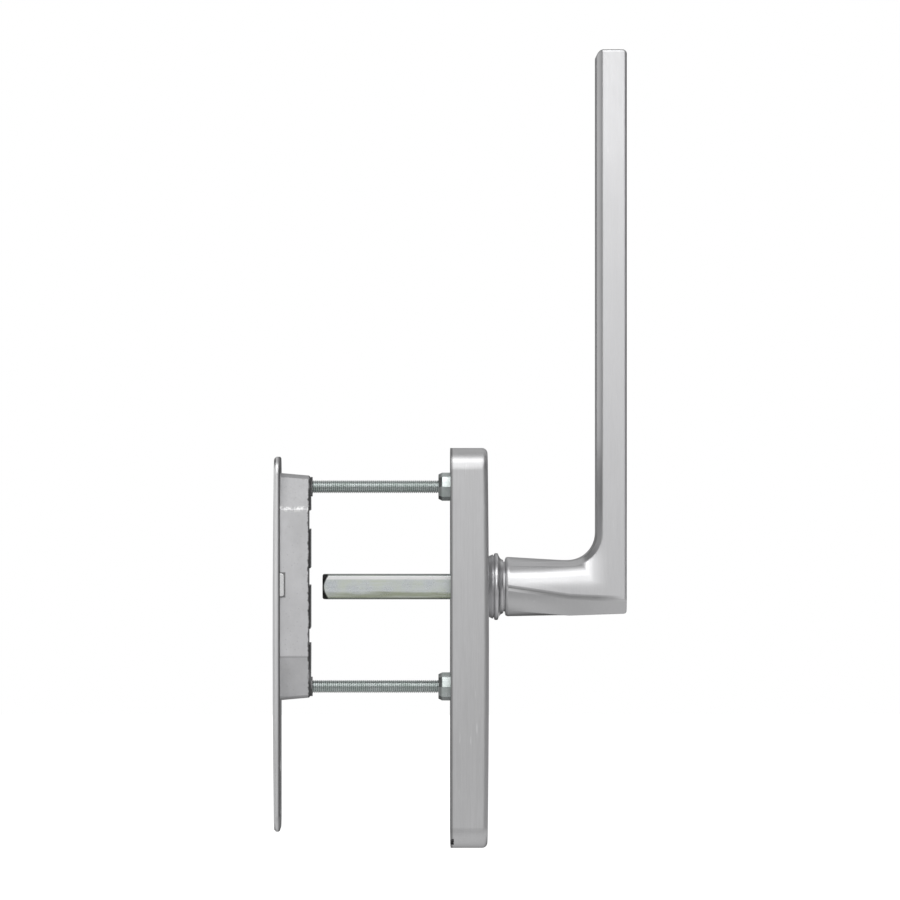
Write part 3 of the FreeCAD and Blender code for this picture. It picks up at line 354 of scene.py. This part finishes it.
ring_low, ring_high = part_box("guide_ring")
cover_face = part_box("cover_plate")[1][0] - 0.1 * MM
band_end = cover_face + 1.95 * MM
throat_start, throat_end = band_end + 2.15 * MM, ring_high[0]
outer, throat, nose, sleeve, bore = ring_high[2], ring_high[2] - 0.8 * MM, 10.7 * MM, 12.05 * MM, 10.05 * MM
ring_profile = [(ring_low[0], bore), (ring_low[0], sleeve), (cover_face, sleeve)]
# Band, groove and bead: millimetres along from the band's end, and down from the widest place.
for along_band, below_outer in ((-1.95, 1.4), (-1.65, 1.25), (-0.45, 0.62), (-0.2, 0.55), (-0.06, 0.6),
                                (0.02, 1.0), (0.32, 1.0), (0.42, 0.4), (0.62, 0.12), (0.95, 0.02),
                                (1.3, 0.0), (1.65, 0.04), (1.95, 0.2), (2.15, 0.8)):
    ring_profile.append((band_end + along_band * MM, outer - below_outer * MM))
for share_along, share_in in ((0.2, 0.42), (0.42, 0.70), (0.66, 0.88), (0.86, 0.97), (1.0, 1.0)):
    ring_profile.append((throat_start + (throat_end - throat_start) * share_along,
                         throat - (throat - nose) * share_in))
ring_profile.append((throat_end, bore))
ring_satin = satin_metal("ring_satin", dark=(0.56, 0.56, 0.57), light=(0.70, 0.70, 0.71),
                         stretch=(1.6, 0.05, 0.05), roughness=0.27, bump=0.2, scratches=0.2)
guide_ring = turned("guide_ring_turned", ring_profile, 144, ring_satin)
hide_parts("guide_ring")
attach(guide_ring, "plates")


# Cover plate: deep-drawn aluminium, brushed upright and anodised satin. It snaps over the base plate.
# Its rear rim is left as the press cut it, and a dark line of painted shade runs along it.
def paint_shade_along(material, unshaded, darkest, amount):
    """Paint shade on a material along the spindle's axis, from where it is unshaded to where it is darkest.
    """
    tree = material.node_tree
    along, _, _ = axes(tree, object_place(tree))
    lay_over(material, spread(tree, along, unshaded, darkest, 0.0, amount), (0.10, 0.10, 0.10))


upright = (1.0, 1.0, 0.03)
cover_satin = satin_metal("cover_satin", dark=(0.60, 0.60, 0.605), light=(0.73, 0.73, 0.74),
                          stretch=upright, roughness=0.39, bump=0.3)
# Painted shade along the rear rim.
paint_shade_along(cover_satin, unshaded=1.0 * MM, darkest=0.45 * MM, amount=0.62)
dress_node("cover_plate", cover_satin)


# Outer plate: the same brushed aluminium, but thin sheet, with the cup's window and the cylinder's
# hole. The cup is clipped into it, and the through screws hold both to the door. Its cut edge carries
# a painted highlight, strongest high up, and painted shade where it meets the door.
outer_satin = satin_metal("outer_satin", dark=(0.64, 0.64, 0.65), light=(0.76, 0.76, 0.77),
                          stretch=upright, roughness=0.36, bump=0.3)
door_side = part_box("outer_plate")[1][0]
# Painted shade at the door side; a painted highlight on the cut edge below.
paint_shade_along(outer_satin, unshaded=door_side - 0.9 * MM, darkest=door_side - 0.3 * MM, amount=0.6)
outer_tree = outer_satin.node_tree
along, _, up = axes(outer_tree, object_place(outer_tree))
painted_edge_highlight = band(outer_tree, along, (door_side - 2.6 * MM, door_side - 2.0 * MM),
                (door_side - 1.4 * MM, door_side - 0.9 * MM))
highlight_higher_up = spread(outer_tree, up, -70.0 * MM, 10.0 * MM, 0.2, 0.9)
lay_over(outer_satin, math_step(outer_tree, "MULTIPLY", painted_edge_highlight, highlight_higher_up), (0.98, 0.98, 0.98))
dress_node("outer_plate", outer_satin)


# Flush cup: a zinc casting under a thin matt grey coat, whose skin shows fine orange peel, soft flow
# clouds and small pits. It is clipped into the outer plate. Painted shade darkens its back: a dark
# ragged line along the wall's back edge, and the back face beyond it.
skin, skin_in, skin_out = new_group("cast_skin", {"Grain": 1400.0}, ("Peel", "Clouds", "Pits"))
peel = stretched_noise(skin, skin_in["Vector"], (1.0, 1.0, 1.0), skin_in["Grain"], 3.0, 0.5)
feed(skin, skin_out["Peel"], peel)
flow = stretched_noise(skin, skin_in["Vector"], (1.0, 1.0, 0.5), 95.0, 4.0, 0.62)
feed(skin, skin_out["Clouds"], spread(skin, flow, 0.32, 0.68))
pits = add(skin, "ShaderNodeTexVoronoi", feature="F1")
feed(skin, pits.inputs["Vector"], skin_in["Vector"])
feed(skin, pits.inputs["Scale"], 620.0)
feed(skin, skin_out["Pits"], spread(skin, pits.outputs["Distance"], 0.05, 0.22, 1.0, 0.0))


def cast_coat(name, dark, light, roughness, bump):
    """Matt coat on a casting: clouded from dark to light, with darker pits."""
    material, tree, shader = start_material(name, Metallic=0.85, Specular_IOR_Level=0.45)
    surface = place_group(tree, skin, object_place(tree))
    feed(tree, shader["Base Color"], blend_colours(tree, surface["Clouds"], dark, light))
    pitted = tuple(channel * 0.8 for channel in dark)
    lay_over(material, math_step(tree, "MULTIPLY", surface["Pits"], 0.5), pitted)
    rough = spread(tree, surface["Peel"], 0.3, 0.7, roughness - 0.06, roughness + 0.06)
    feed(tree, shader["Roughness"], rough)
    raise_relief(tree, surface["Peel"], strength=bump, depth=0.05 * MM, edge=0.4 * MM)
    return material


def diagonal(tree, first, second):
    """Length of two distances taken at a right angle."""
    squares = [math_step(tree, "MULTIPLY", side, side) for side in (first, second)]
    return math_step(tree, "SQRT", math_step(tree, "ADD", *squares))


cup_coat = cast_coat("cup_coat", dark=(0.72, 0.72, 0.73), light=(0.84, 0.84, 0.855), roughness=0.50, bump=0.5)
cup_tree = cup_coat.node_tree
cup_vector = object_place(cup_tree)
along, across, up = axes(cup_tree, cup_vector)
cup_back, wall_centre, wall_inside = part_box("flush_cup")[1][0], 31.0 * MM, 10.2 * MM
# Painted shade: a ragged dark line along the wall's back edge and a darker back face.
ragged = stretched_noise(cup_tree, cup_vector, (1.0, 1.0, 1.0), 420.0, 3.0, 0.7)
ragged_along = math_step(cup_tree, "ADD", along, spread(cup_tree, ragged, 0.3, 0.7, -0.5 * MM, 0.5 * MM))
ragged_shade_line = spread(cup_tree, ragged_along, cup_back - 1.75 * MM, cup_back - 1.35 * MM, 0.0, 0.85)
shaded_back_face = spread(cup_tree, along, cup_back - 2.2 * MM, cup_back - 2.0 * MM, 0.0, 0.55)
past_centre = math_step(cup_tree, "SUBTRACT", away_from(cup_tree, up), wall_centre)
past_centre = math_step(cup_tree, "MAXIMUM", past_centre, 0.0)
from_middle = diagonal(cup_tree, past_centre, across)
on_wall = spread(cup_tree, from_middle, wall_inside, wall_inside + 0.6 * MM)
inside_wall = math_step(cup_tree, "SUBTRACT", 1.0, on_wall)
painted_back_shade = math_step(cup_tree, "ADD", math_step(cup_tree, "MULTIPLY", ragged_shade_line, on_wall),
                      math_step(cup_tree, "MULTIPLY", shaded_back_face, inside_wall))
lay_over(cup_coat, painted_back_shade, (0.05, 0.05, 0.05))

# Painted shade lies round the foot of each retaining clip.
clip_low, clip_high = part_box("cup_clip_near")
past_clip = []
for place, low, high in ((along, clip_low[0], clip_high[0]), (up, clip_low[2], clip_high[2])):
    from_clip = away_from(cup_tree, place, (low + high) / 2)
    past_clip.append(math_step(cup_tree, "SUBTRACT", from_clip, (high - low) / 2))
shade_by_clip = spread(cup_tree, math_step(cup_tree, "MAXIMUM", *past_clip), 0.15 * MM, 0.7 * MM, 0.8, 0.0)
on_side = spread(cup_tree, away_from(cup_tree, across), 13.0 * MM, 13.4 * MM)
lay_over(cup_coat, math_step(cup_tree, "MULTIPLY", on_side, shade_by_clip), (0.10, 0.10, 0.10))

# The side walls break into flat facets towards the cup's ends, below a little earlier than above.
# Painted shade darkens the facets, the upper ones most. Painted highlights glint in flecks along the
# upper break, and a fine line of painted shade lies along the lower one.
upper_break, lower_break = wall_centre, 27.5 * MM
facet_shade_above = spread(cup_tree, up, upper_break, upper_break + 0.6 * MM, 0.0, 0.28)
facet_shade_below = spread(cup_tree, up, -lower_break - 0.6 * MM, -lower_break, 0.05, 0.0)
lay_over(cup_coat, math_step(cup_tree, "ADD", facet_shade_above, facet_shade_below), (0.05, 0.05, 0.05))
by_upper = spread(cup_tree, away_from(cup_tree, up, upper_break + 0.2 * MM), 0.5 * MM, 1.5 * MM, 1.0, 0.0)
before_back = spread(cup_tree, along, cup_back - 2.0 * MM, cup_back - 1.2 * MM, 1.0, 0.0)
painted_glints = math_step(cup_tree, "MULTIPLY", by_upper, spread(cup_tree, ragged, 0.48, 0.56), before_back)
lay_over(cup_coat, painted_glints, (1.0, 1.0, 1.0))
lower_break_shade = spread(cup_tree, away_from(cup_tree, up, -lower_break - 0.1 * MM), 0.2 * MM, 0.6 * MM, 0.22, 0.0)
lay_over(cup_coat, lower_break_shade, (0.05, 0.05, 0.05))

# The facets are pressed into a copy of the casting. Its wall slopes in a little from the foot to the
# shoulder, and more beyond. A facet is the straight line from the break on the wall's flat side to the
# small round end that is left between the facets.
flush_cup = bpy.data.objects.new("flush_cup_faceted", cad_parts["flush_cup"].data.copy())
bpy.context.scene.collection.objects.link(flush_cup)
bpy.ops.object.select_all(action="DESELECT")
flush_cup.select_set(True)
bpy.context.view_layer.objects.active = flush_cup
bpy.ops.object.mode_set(mode="EDIT")
bpy.ops.mesh.select_all(action="SELECT")
bpy.ops.mesh.remove_doubles(threshold=0.002 * MM)
bpy.ops.mesh.bisect(plane_co=(0.0, 0.0, -lower_break), plane_no=(0.0, 0.0, 1.0))
bpy.ops.object.mode_set(mode="OBJECT")
foot, shoulder = door_side, cup_back - 1.5 * MM
foot_half, shoulder_half = 14.5 * MM, 13.5 * MM
round_end = math.radians(64)
for corner in flush_cup.data.vertices:
    x, y, z = corner.co
    if x < foot - 0.05 * MM:
        continue
    wall_half = foot_half + (shoulder_half - foot_half) * min(1.0, (x - foot) / (shoulder - foot))
    wall_half -= max(0.0, x - shoulder)
    break_height = upper_break if z > 0 else lower_break
    beyond = abs(z) - wall_centre
    reach = math.hypot(abs(y), beyond) if beyond > 0 else abs(y)
    on_outside = abs(reach - wall_half) <= 0.08 * MM
    if abs(z) <= break_height or not on_outside or math.atan2(beyond, abs(y)) >= round_end:
        continue
    run_across = wall_half * math.cos(round_end) - wall_half
    run_up = wall_centre + wall_half * math.sin(round_end) - break_height
    if beyond > 0:
        off = run_up * abs(y) - run_across * beyond
        scale = (run_up * wall_half - run_across * (break_height - wall_centre)) / off
        corner.co.y = y * scale
        corner.co.z = math.copysign(wall_centre + beyond * scale, z)
    else:
        corner.co.y = math.copysign(wall_half + run_across * (abs(z) - break_height) / run_up, y)
flush_cup.data.materials.clear()
flush_cup.data.materials.append(cup_coat)
bpy.ops.mesh.customdata_custom_splitnormals_clear()
bpy.ops.object.shade_smooth_by_angle(angle=math.radians(16))
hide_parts("flush_cup")
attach(flush_cup, "plates")


# Base plate: a zinc casting under a darker coat of the same kind. It carries the lever's bearing, and
# the cover hides all of it but its rim and back.
base_coat = cast_coat("base_coat", dark=(0.30, 0.30, 0.305), light=(0.40, 0.40, 0.405),
                      roughness=0.6, bump=0.6)
dress_node("base_plate", base_coat)


# Plated steel: lugs, closing plate with its screws, disc and pin are zinc plated with a pale green
# cast. The plating blooms in soft patches. The lugs' tapered free ends are darkened with painted shade.
bloom, bloom_in, bloom_out = new_group("plating_bloom", {"Patch": 260.0}, ("Bloom", "Speckle"))
blooming = stretched_noise(bloom, bloom_in["Vector"], (1.0, 1.0, 1.0), bloom_in["Patch"], 4.0, 0.5)
feed(bloom, bloom_out["Bloom"], spread(bloom, blooming, 0.35, 0.65))
speckle = stretched_noise(bloom, bloom_in["Vector"], (1.0, 1.0, 1.0), 2400.0, 2.0)
feed(bloom, bloom_out["Speckle"], spread(bloom, speckle, 0.35, 0.65))


def plated(name, dull, bright, tint, patch=260.0):
    """Zinc plating: from dull to bright with the speckle, tinted where it blooms."""
    material, tree, shader = start_material(name, Metallic=1.0)
    plating = place_group(tree, bloom, object_place(tree), Patch=patch)
    feed(tree, shader["Base Color"], blend_colours(tree, plating["Speckle"], dull, bright))
    lay_over(material, math_step(tree, "MULTIPLY", plating["Bloom"], 0.7), tint)
    feed(tree, shader["Roughness"], spread(tree, plating["Bloom"], 0.0, 1.0, 0.24, 0.38))
    raise_relief(tree, plating["Speckle"], strength=0.25, depth=0.02 * MM, edge=0.25 * MM)
    return material


pale_green = (0.56, 0.63, 0.60)
zinc = plated("zinc_plating", dull=(0.50, 0.54, 0.54), bright=(0.68, 0.72, 0.71), tint=pale_green)
for node in ("closing_plate", "closing_screw_upper", "closing_screw_lower", "detent_disc", "spindle_pin"):
    dress_node(node, zinc)
lug_zinc = plated("lug_zinc", dull=(0.50, 0.54, 0.54), bright=(0.70, 0.74, 0.73), tint=pale_green)
# Painted shade on the lugs' tapered free ends.
lug_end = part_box("support_lug_upper")[0][0]
paint_shade_along(lug_zinc, unshaded=lug_end + 1.7 * MM, darkest=lug_end + 0.9 * MM, amount=0.65)
for node in ("support_lug_upper", "support_lug_lower"):
    dress_node(node, lug_zinc)


# Through screws: long zinc plated steel screws with a cylindrical head, which clamp the two plates to
# the door. The socket is left a plain round recess, because the cover hides it. The thread is rolled
# up to a short plain neck, so its crests are narrow and its flanks smooth.
screw_low, screw_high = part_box("through_screw_upper")
screw_axis = (screw_low[2] + screw_high[2]) / 2
head_front, head_back = screw_high[0], screw_high[0] - 3.3 * MM
head_radius, head_bevel = screw_high[1], 0.7 * MM
tip, tip_bevel = screw_low[0], 0.4 * MM
crest, core, pitch = 2.5 * MM, 2.02 * MM, 0.8 * MM
neck_end, neck_run_out = head_back - 3.0 * MM, 0.5 * MM
socket_radius, socket_floor = 4.0 * MM / math.sqrt(3), head_front - 2.0 * MM
# The rings can't close to a point, so a hair-thin hole is left on the axis.
axis_hole = 0.1 * MM
shank_profile = [
    (head_front, socket_radius * 1.02), (head_front, head_radius - head_bevel),
    (head_front - head_bevel, head_radius), (head_back, head_radius), (head_back, crest),
    (neck_end, crest), (neck_end - neck_run_out, core), (tip + tip_bevel, core), (tip, core - tip_bevel),
    (tip, axis_hole), (socket_floor, axis_hole), (socket_floor, socket_radius),
]
upper_screw = turned("through_screw_threaded_upper", shank_profile, 48, zinc)

# One turn's outline, a small trapezium with its foot sunk in the core, is wound along the shank.
foot_half_width, crest_half_width, sunk = 0.40 * MM, 0.19 * MM, 0.06 * MM
thread_start, thread_end = tip + 0.6 * MM, neck_end - 0.2 * MM
bpy.ops.object.select_all(action="DESELECT")
bpy.ops.mesh.primitive_plane_add(size=pitch, location=(thread_start, 0.0, core),
                                 rotation=(math.pi / 2, 0.0, 0.0))
thread = bpy.context.active_object
bpy.ops.object.transform_apply()
for corner in thread.data.vertices:
    at_crest = corner.co.z > core
    side = 1 if corner.co.x > thread_start else -1
    corner.co.x = thread_start + side * (crest_half_width if at_crest else foot_half_width)
    corner.co.z = crest if at_crest else core - sunk
bpy.ops.object.mode_set(mode="EDIT")
bpy.ops.mesh.select_all(action="SELECT")
bpy.ops.mesh.delete(type="ONLY_FACE")
bpy.ops.object.mode_set(mode="OBJECT")
winding = thread.modifiers.new("winding", "SCREW")
winding.axis = "X"
winding.screw_offset = pitch
winding.steps = winding.render_steps = 20
winding.iterations = int((thread_end - thread_start) / pitch)
bpy.ops.object.modifier_apply(modifier="winding")
bpy.ops.object.mode_set(mode="EDIT")
bpy.ops.mesh.select_all(action="DESELECT")
bpy.ops.mesh.select_non_manifold()
bpy.ops.mesh.fill()
bpy.ops.mesh.select_all(action="SELECT")
bpy.ops.mesh.normals_make_consistent(inside=False)
bpy.ops.object.mode_set(mode="OBJECT")
bpy.ops.object.shade_smooth_by_angle(angle=math.radians(40))
thread.data.materials.append(zinc)
upper_screw.select_set(True)
bpy.context.view_layer.objects.active = upper_screw
bpy.ops.object.join()
lower_screw = bpy.data.objects.new("through_screw_threaded_lower", upper_screw.data.copy())
bpy.context.scene.collection.objects.link(lower_screw)
for screw, node, height in ((upper_screw, "through_screw_upper", screw_axis),
                            (lower_screw, "through_screw_lower", -screw_axis)):
    for corner in screw.data.vertices:
        corner.co.z += height
    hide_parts(node)
    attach(screw, "plates")


# Spring steel: the thrust washer, the open retaining ring and the two detent wires are hidden, and the
# two clips are pushed into the cup's sides. All are bright with a fine even grain, the clips most.
every_way = (0.3, 0.3, 0.3)
spring = satin_metal("spring_bright", dark=(0.52, 0.52, 0.53), light=(0.74, 0.74, 0.74),
                     stretch=every_way, roughness=0.25, bump=0.15, scratches=0.3)
for node in ("thrust_washer", "retaining_ring", "detent_spring_near", "detent_spring_far"):
    dress_node(node, spring)
clip_bright = satin_metal("clip_bright", dark=(0.80, 0.80, 0.81), light=(0.95, 0.95, 0.95),
                          stretch=every_way, roughness=0.25, bump=0.15, scratches=0.3)
for node in ("cup_clip_near", "cup_clip_far"):
    dress_node(node, clip_bright)


# Bearing bush: a moulded ring of plain off-white plastic, pressed into the base plate, in which the
# lever's neck turns. The cover hides it.
bush_plastic, bush_tree, bush_shader = start_material("bush_plastic", Roughness=0.5)
bush_skin = place_group(bush_tree, skin, object_place(bush_tree), Grain=2600.0)
bush_tone = blend_colours(bush_tree, bush_skin["Clouds"], (0.78, 0.76, 0.70), (0.84, 0.83, 0.78))
feed(bush_tree, bush_shader["Base Color"], bush_tone)
dress_node("bearing_bush", bush_plastic)


# Spindle: square steel bar, zinc plated and passivated, pinned into the lever. Streaks of the drawn
# bar run along it. Its faces are grey-blue in the middle; over their lower part lies a dark
# yellow-green streak that is partly the passivation's tint and partly painted shade. A white band
# under the upper edge is a painted highlight, and both edges carry painted shade.
passivated = plated("passivated_zinc", dull=(0.58, 0.62, 0.65), bright=(0.76, 0.80, 0.81),
                    tint=(0.67, 0.72, 0.58), patch=160.0)
bar_tree = passivated.node_tree
bar_vector = object_place(bar_tree)
along, across, up = axes(bar_tree, bar_vector)
drawn = stretched_noise(bar_tree, bar_vector, (0.05, 1.0, 1.0), 1300.0, 3.0, 0.65)
lay_over(passivated, spread(bar_tree, drawn, 0.3, 0.7, 0.0, 0.5), (0.80, 0.83, 0.86))
wander = stretched_noise(bar_tree, bar_vector, (0.25, 1.0, 1.0), 260.0, 3.0)
streak_height = math_step(bar_tree, "ADD", up, spread(bar_tree, wander, 0.25, 0.75, -0.6 * MM, 0.6 * MM))
# Partly the passivation's tint, partly painted shade on the bar's lower part.
green_tint_and_shade = math_step(bar_tree, "MULTIPLY", spread(bar_tree, drawn, 0.35, 0.65, 1.0, 0.55),
                         spread(bar_tree, streak_height, -2.9 * MM, -1.9 * MM, 0.95, 0.0),
                         spread(bar_tree, up, -4.9 * MM, -4.6 * MM))
lay_over(passivated, green_tint_and_shade, (0.36, 0.39, 0.28))
# Painted highlight under the upper edge.
lay_over(passivated, band(bar_tree, up, (2.7 * MM, 3.3 * MM), (4.1 * MM, 4.4 * MM)), (1.0, 1.0, 1.0))
# Painted shade along both edges.
bar_edge_shade = math_step(bar_tree, "ADD", spread(bar_tree, up, -4.45 * MM, -4.15 * MM, 0.75, 0.0),
                       spread(bar_tree, up, 4.4 * MM, 4.7 * MM, 0.0, 0.45))
lay_over(passivated, bar_edge_shade, (0.16, 0.17, 0.16))

# The free end's chamfer is turned, so it lies on a cone about the axis. It is darkened with painted shade.
cone_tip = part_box("spindle")[0][0] - 4.6 * MM
outside_cone = math_step(bar_tree, "SUBTRACT", diagonal(bar_tree, across, up),
                         math_step(bar_tree, "SUBTRACT", along, cone_tip))
chamfer_shade = spread(bar_tree, outside_cone, -0.45 * MM, -0.2 * MM, 0.0, 0.85)
lay_over(passivated, chamfer_shade, (0.07, 0.07, 0.065))
dress_node("spindle", passivated)


# Studio: a plain white floor well below the handle, pale surroundings, one large soft light high in
# front, a low fill, and the camera level with the grip's lower third, looking across the plates.
bpy.ops.object.select_all(action="DESELECT")
floor_height = cad_box[0][2] - 0.16
bpy.ops.mesh.primitive_plane_add(size=8.0, location=(0.0, 0.0, floor_height))
floor = bpy.context.active_object
floor.name = "floor"
floor_white, floor_tree, floor_shader = start_material(
    "floor_white", Roughness=0.9, Specular_IOR_Level=0.0, Emission_Color=(1.0, 1.0, 1.0, 1.0))
# Metal mirrors the floor too: it is pale, but for a dark strip straight behind the handle and a
# shaded one before it.
rays = add(floor_tree, "ShaderNodeLightPath").outputs
sideways, depth, _ = axes(floor_tree, object_place(floor_tree))
in_middle = spread(floor_tree, away_from(floor_tree, sideways), 0.30, 0.50, 1.0, 0.0)
behind_handle = math_step(floor_tree, "MULTIPLY", spread(floor_tree, depth, 0.0, 0.38), in_middle)
before_handle = math_step(floor_tree, "MULTIPLY", spread(floor_tree, depth, -0.45, -0.20, 0.23, 0.0),
                          in_middle)
mirrored_dark = math_step(floor_tree, "MULTIPLY", rays["Is Glossy Ray"], behind_handle)
floor_tone = blend_colours(floor_tree, mirrored_dark, (0.5, 0.5, 0.5), (0.1, 0.1, 0.1))
feed(floor_tree, floor_shader["Base Color"], floor_tone)
floor_shine = math_step(floor_tree, "SUBTRACT", spread(floor_tree, behind_handle, 0.0, 1.0, 0.42, 0.02),
                        before_handle)
floor_glow = math_step(floor_tree, "ADD", math_step(floor_tree, "MULTIPLY", rays["Is Camera Ray"], 0.95),
                       math_step(floor_tree, "MULTIPLY", rays["Is Glossy Ray"], floor_shine))
feed(floor_tree, floor_shader["Emission Strength"], floor_glow)
floor.data.materials.append(floor_white)

# Metal mirrors a pale wall behind the camera, a pale card on the left with a dark gap before it, and
# a grey ceiling. The right and the far side are dark.
world = bpy.data.worlds.new("pale_studio")
bpy.context.scene.world = world
world.use_nodes = True
sky = world.node_tree
backdrop = sky.nodes["Background"]
rays = add(sky, "ShaderNodeLightPath").outputs
sideways, depth, height = axes(sky, add(sky, "ShaderNodeTexCoord").outputs["Generated"])
wall = spread(sky, depth, -0.98, -0.20, 0.73, 0.10)
card = spread(sky, sideways, -0.98, -0.84, 0.62, 0.0)
far_left = math_step(sky, "MULTIPLY", spread(sky, depth, 0.5, 0.9),
                     spread(sky, sideways, -0.15, 0.25, 0.18, 0.0))
far_middle = math_step(sky, "MULTIPLY", spread(sky, depth, 0.70, 0.92),
                       spread(sky, away_from(sky, sideways), 0.25, 0.50, 0.75, 0.0))
overhead = spread(sky, height, 0.93, 0.99, 0.0, 0.10)
ceiling = math_step(sky, "SUBTRACT", spread(sky, height, 0.10, 0.50, 0.0, 0.46), overhead)
ceiling = math_step(sky, "MULTIPLY", ceiling, math_step(sky, "SUBTRACT", 1.0, far_middle))
right_shade = math_step(sky, "MULTIPLY", spread(sky, depth, -0.5, 0.1, 1.0, 0.0),
                        spread(sky, sideways, 0.20, 0.60, 0.0, 0.60))
gap_shade = spread(sky, away_from(sky, sideways, -0.62), 0.10, 0.30, 0.56, 0.0)
surroundings = math_step(sky, "ADD", wall, card, ceiling, far_left)
surroundings = math_step(sky, "SUBTRACT", surroundings, right_shade, gap_shade)
surroundings = math_step(sky, "MAXIMUM", surroundings, 0.05)
not_mirrored = math_step(sky, "SUBTRACT", 1.0, rays["Is Glossy Ray"])
light_share = math_step(sky, "ADD", math_step(sky, "MULTIPLY", rays["Is Glossy Ray"], surroundings),
                        math_step(sky, "MULTIPLY", not_mirrored, 0.35))
seen = math_step(sky, "MAXIMUM", rays["Is Camera Ray"], rays["Is Transmission Ray"], light_share)
feed(sky, backdrop.inputs["Strength"], seen)
feed(sky, backdrop.inputs["Color"], (1.0, 1.0, 1.0))


def soft_light(name, place, target, size, watts):
    """Add a rectangular light at a place, turned towards a target."""
    bpy.ops.object.light_add(type="AREA", location=place)
    light = bpy.context.active_object
    light.name = name
    light.data.shape = "RECTANGLE"
    light.data.size, light.data.size_y = size
    light.data.energy = watts
    towards = [there - here for there, here in zip(target, place)]
    tilt = math.atan2(towards[2], math.hypot(towards[0], towards[1]))
    light.rotation_euler = (math.pi / 2 + tilt, 0.0, math.atan2(-towards[0], towards[1]))


soft_light("key_light", place=(0.02, -0.72, 0.90), target=(0.0, 0.0, 0.04), size=(1.0, 0.40), watts=2.2)
soft_light("high_fill", place=(-0.05, -1.0, 0.33), target=(0.0, 0.0, 0.10), size=(0.4, 0.24), watts=0.5)

# The camera stands 2 m off with a long lens, so that the plates' edges taper as little as in the photo.
bpy.ops.object.camera_add(location=(-0.020, -2.0, 0.0547), rotation=(math.pi / 2, 0.0, 0.0))
camera = bpy.context.active_object
camera.data.sensor_width = 36.0
camera.data.lens = 199.7
camera.data.shift_x = 0.0550
camera.data.clip_end = 20.0
bpy.context.scene.camera = camera
bpy.context.scene.view_settings.view_transform = "Standard"
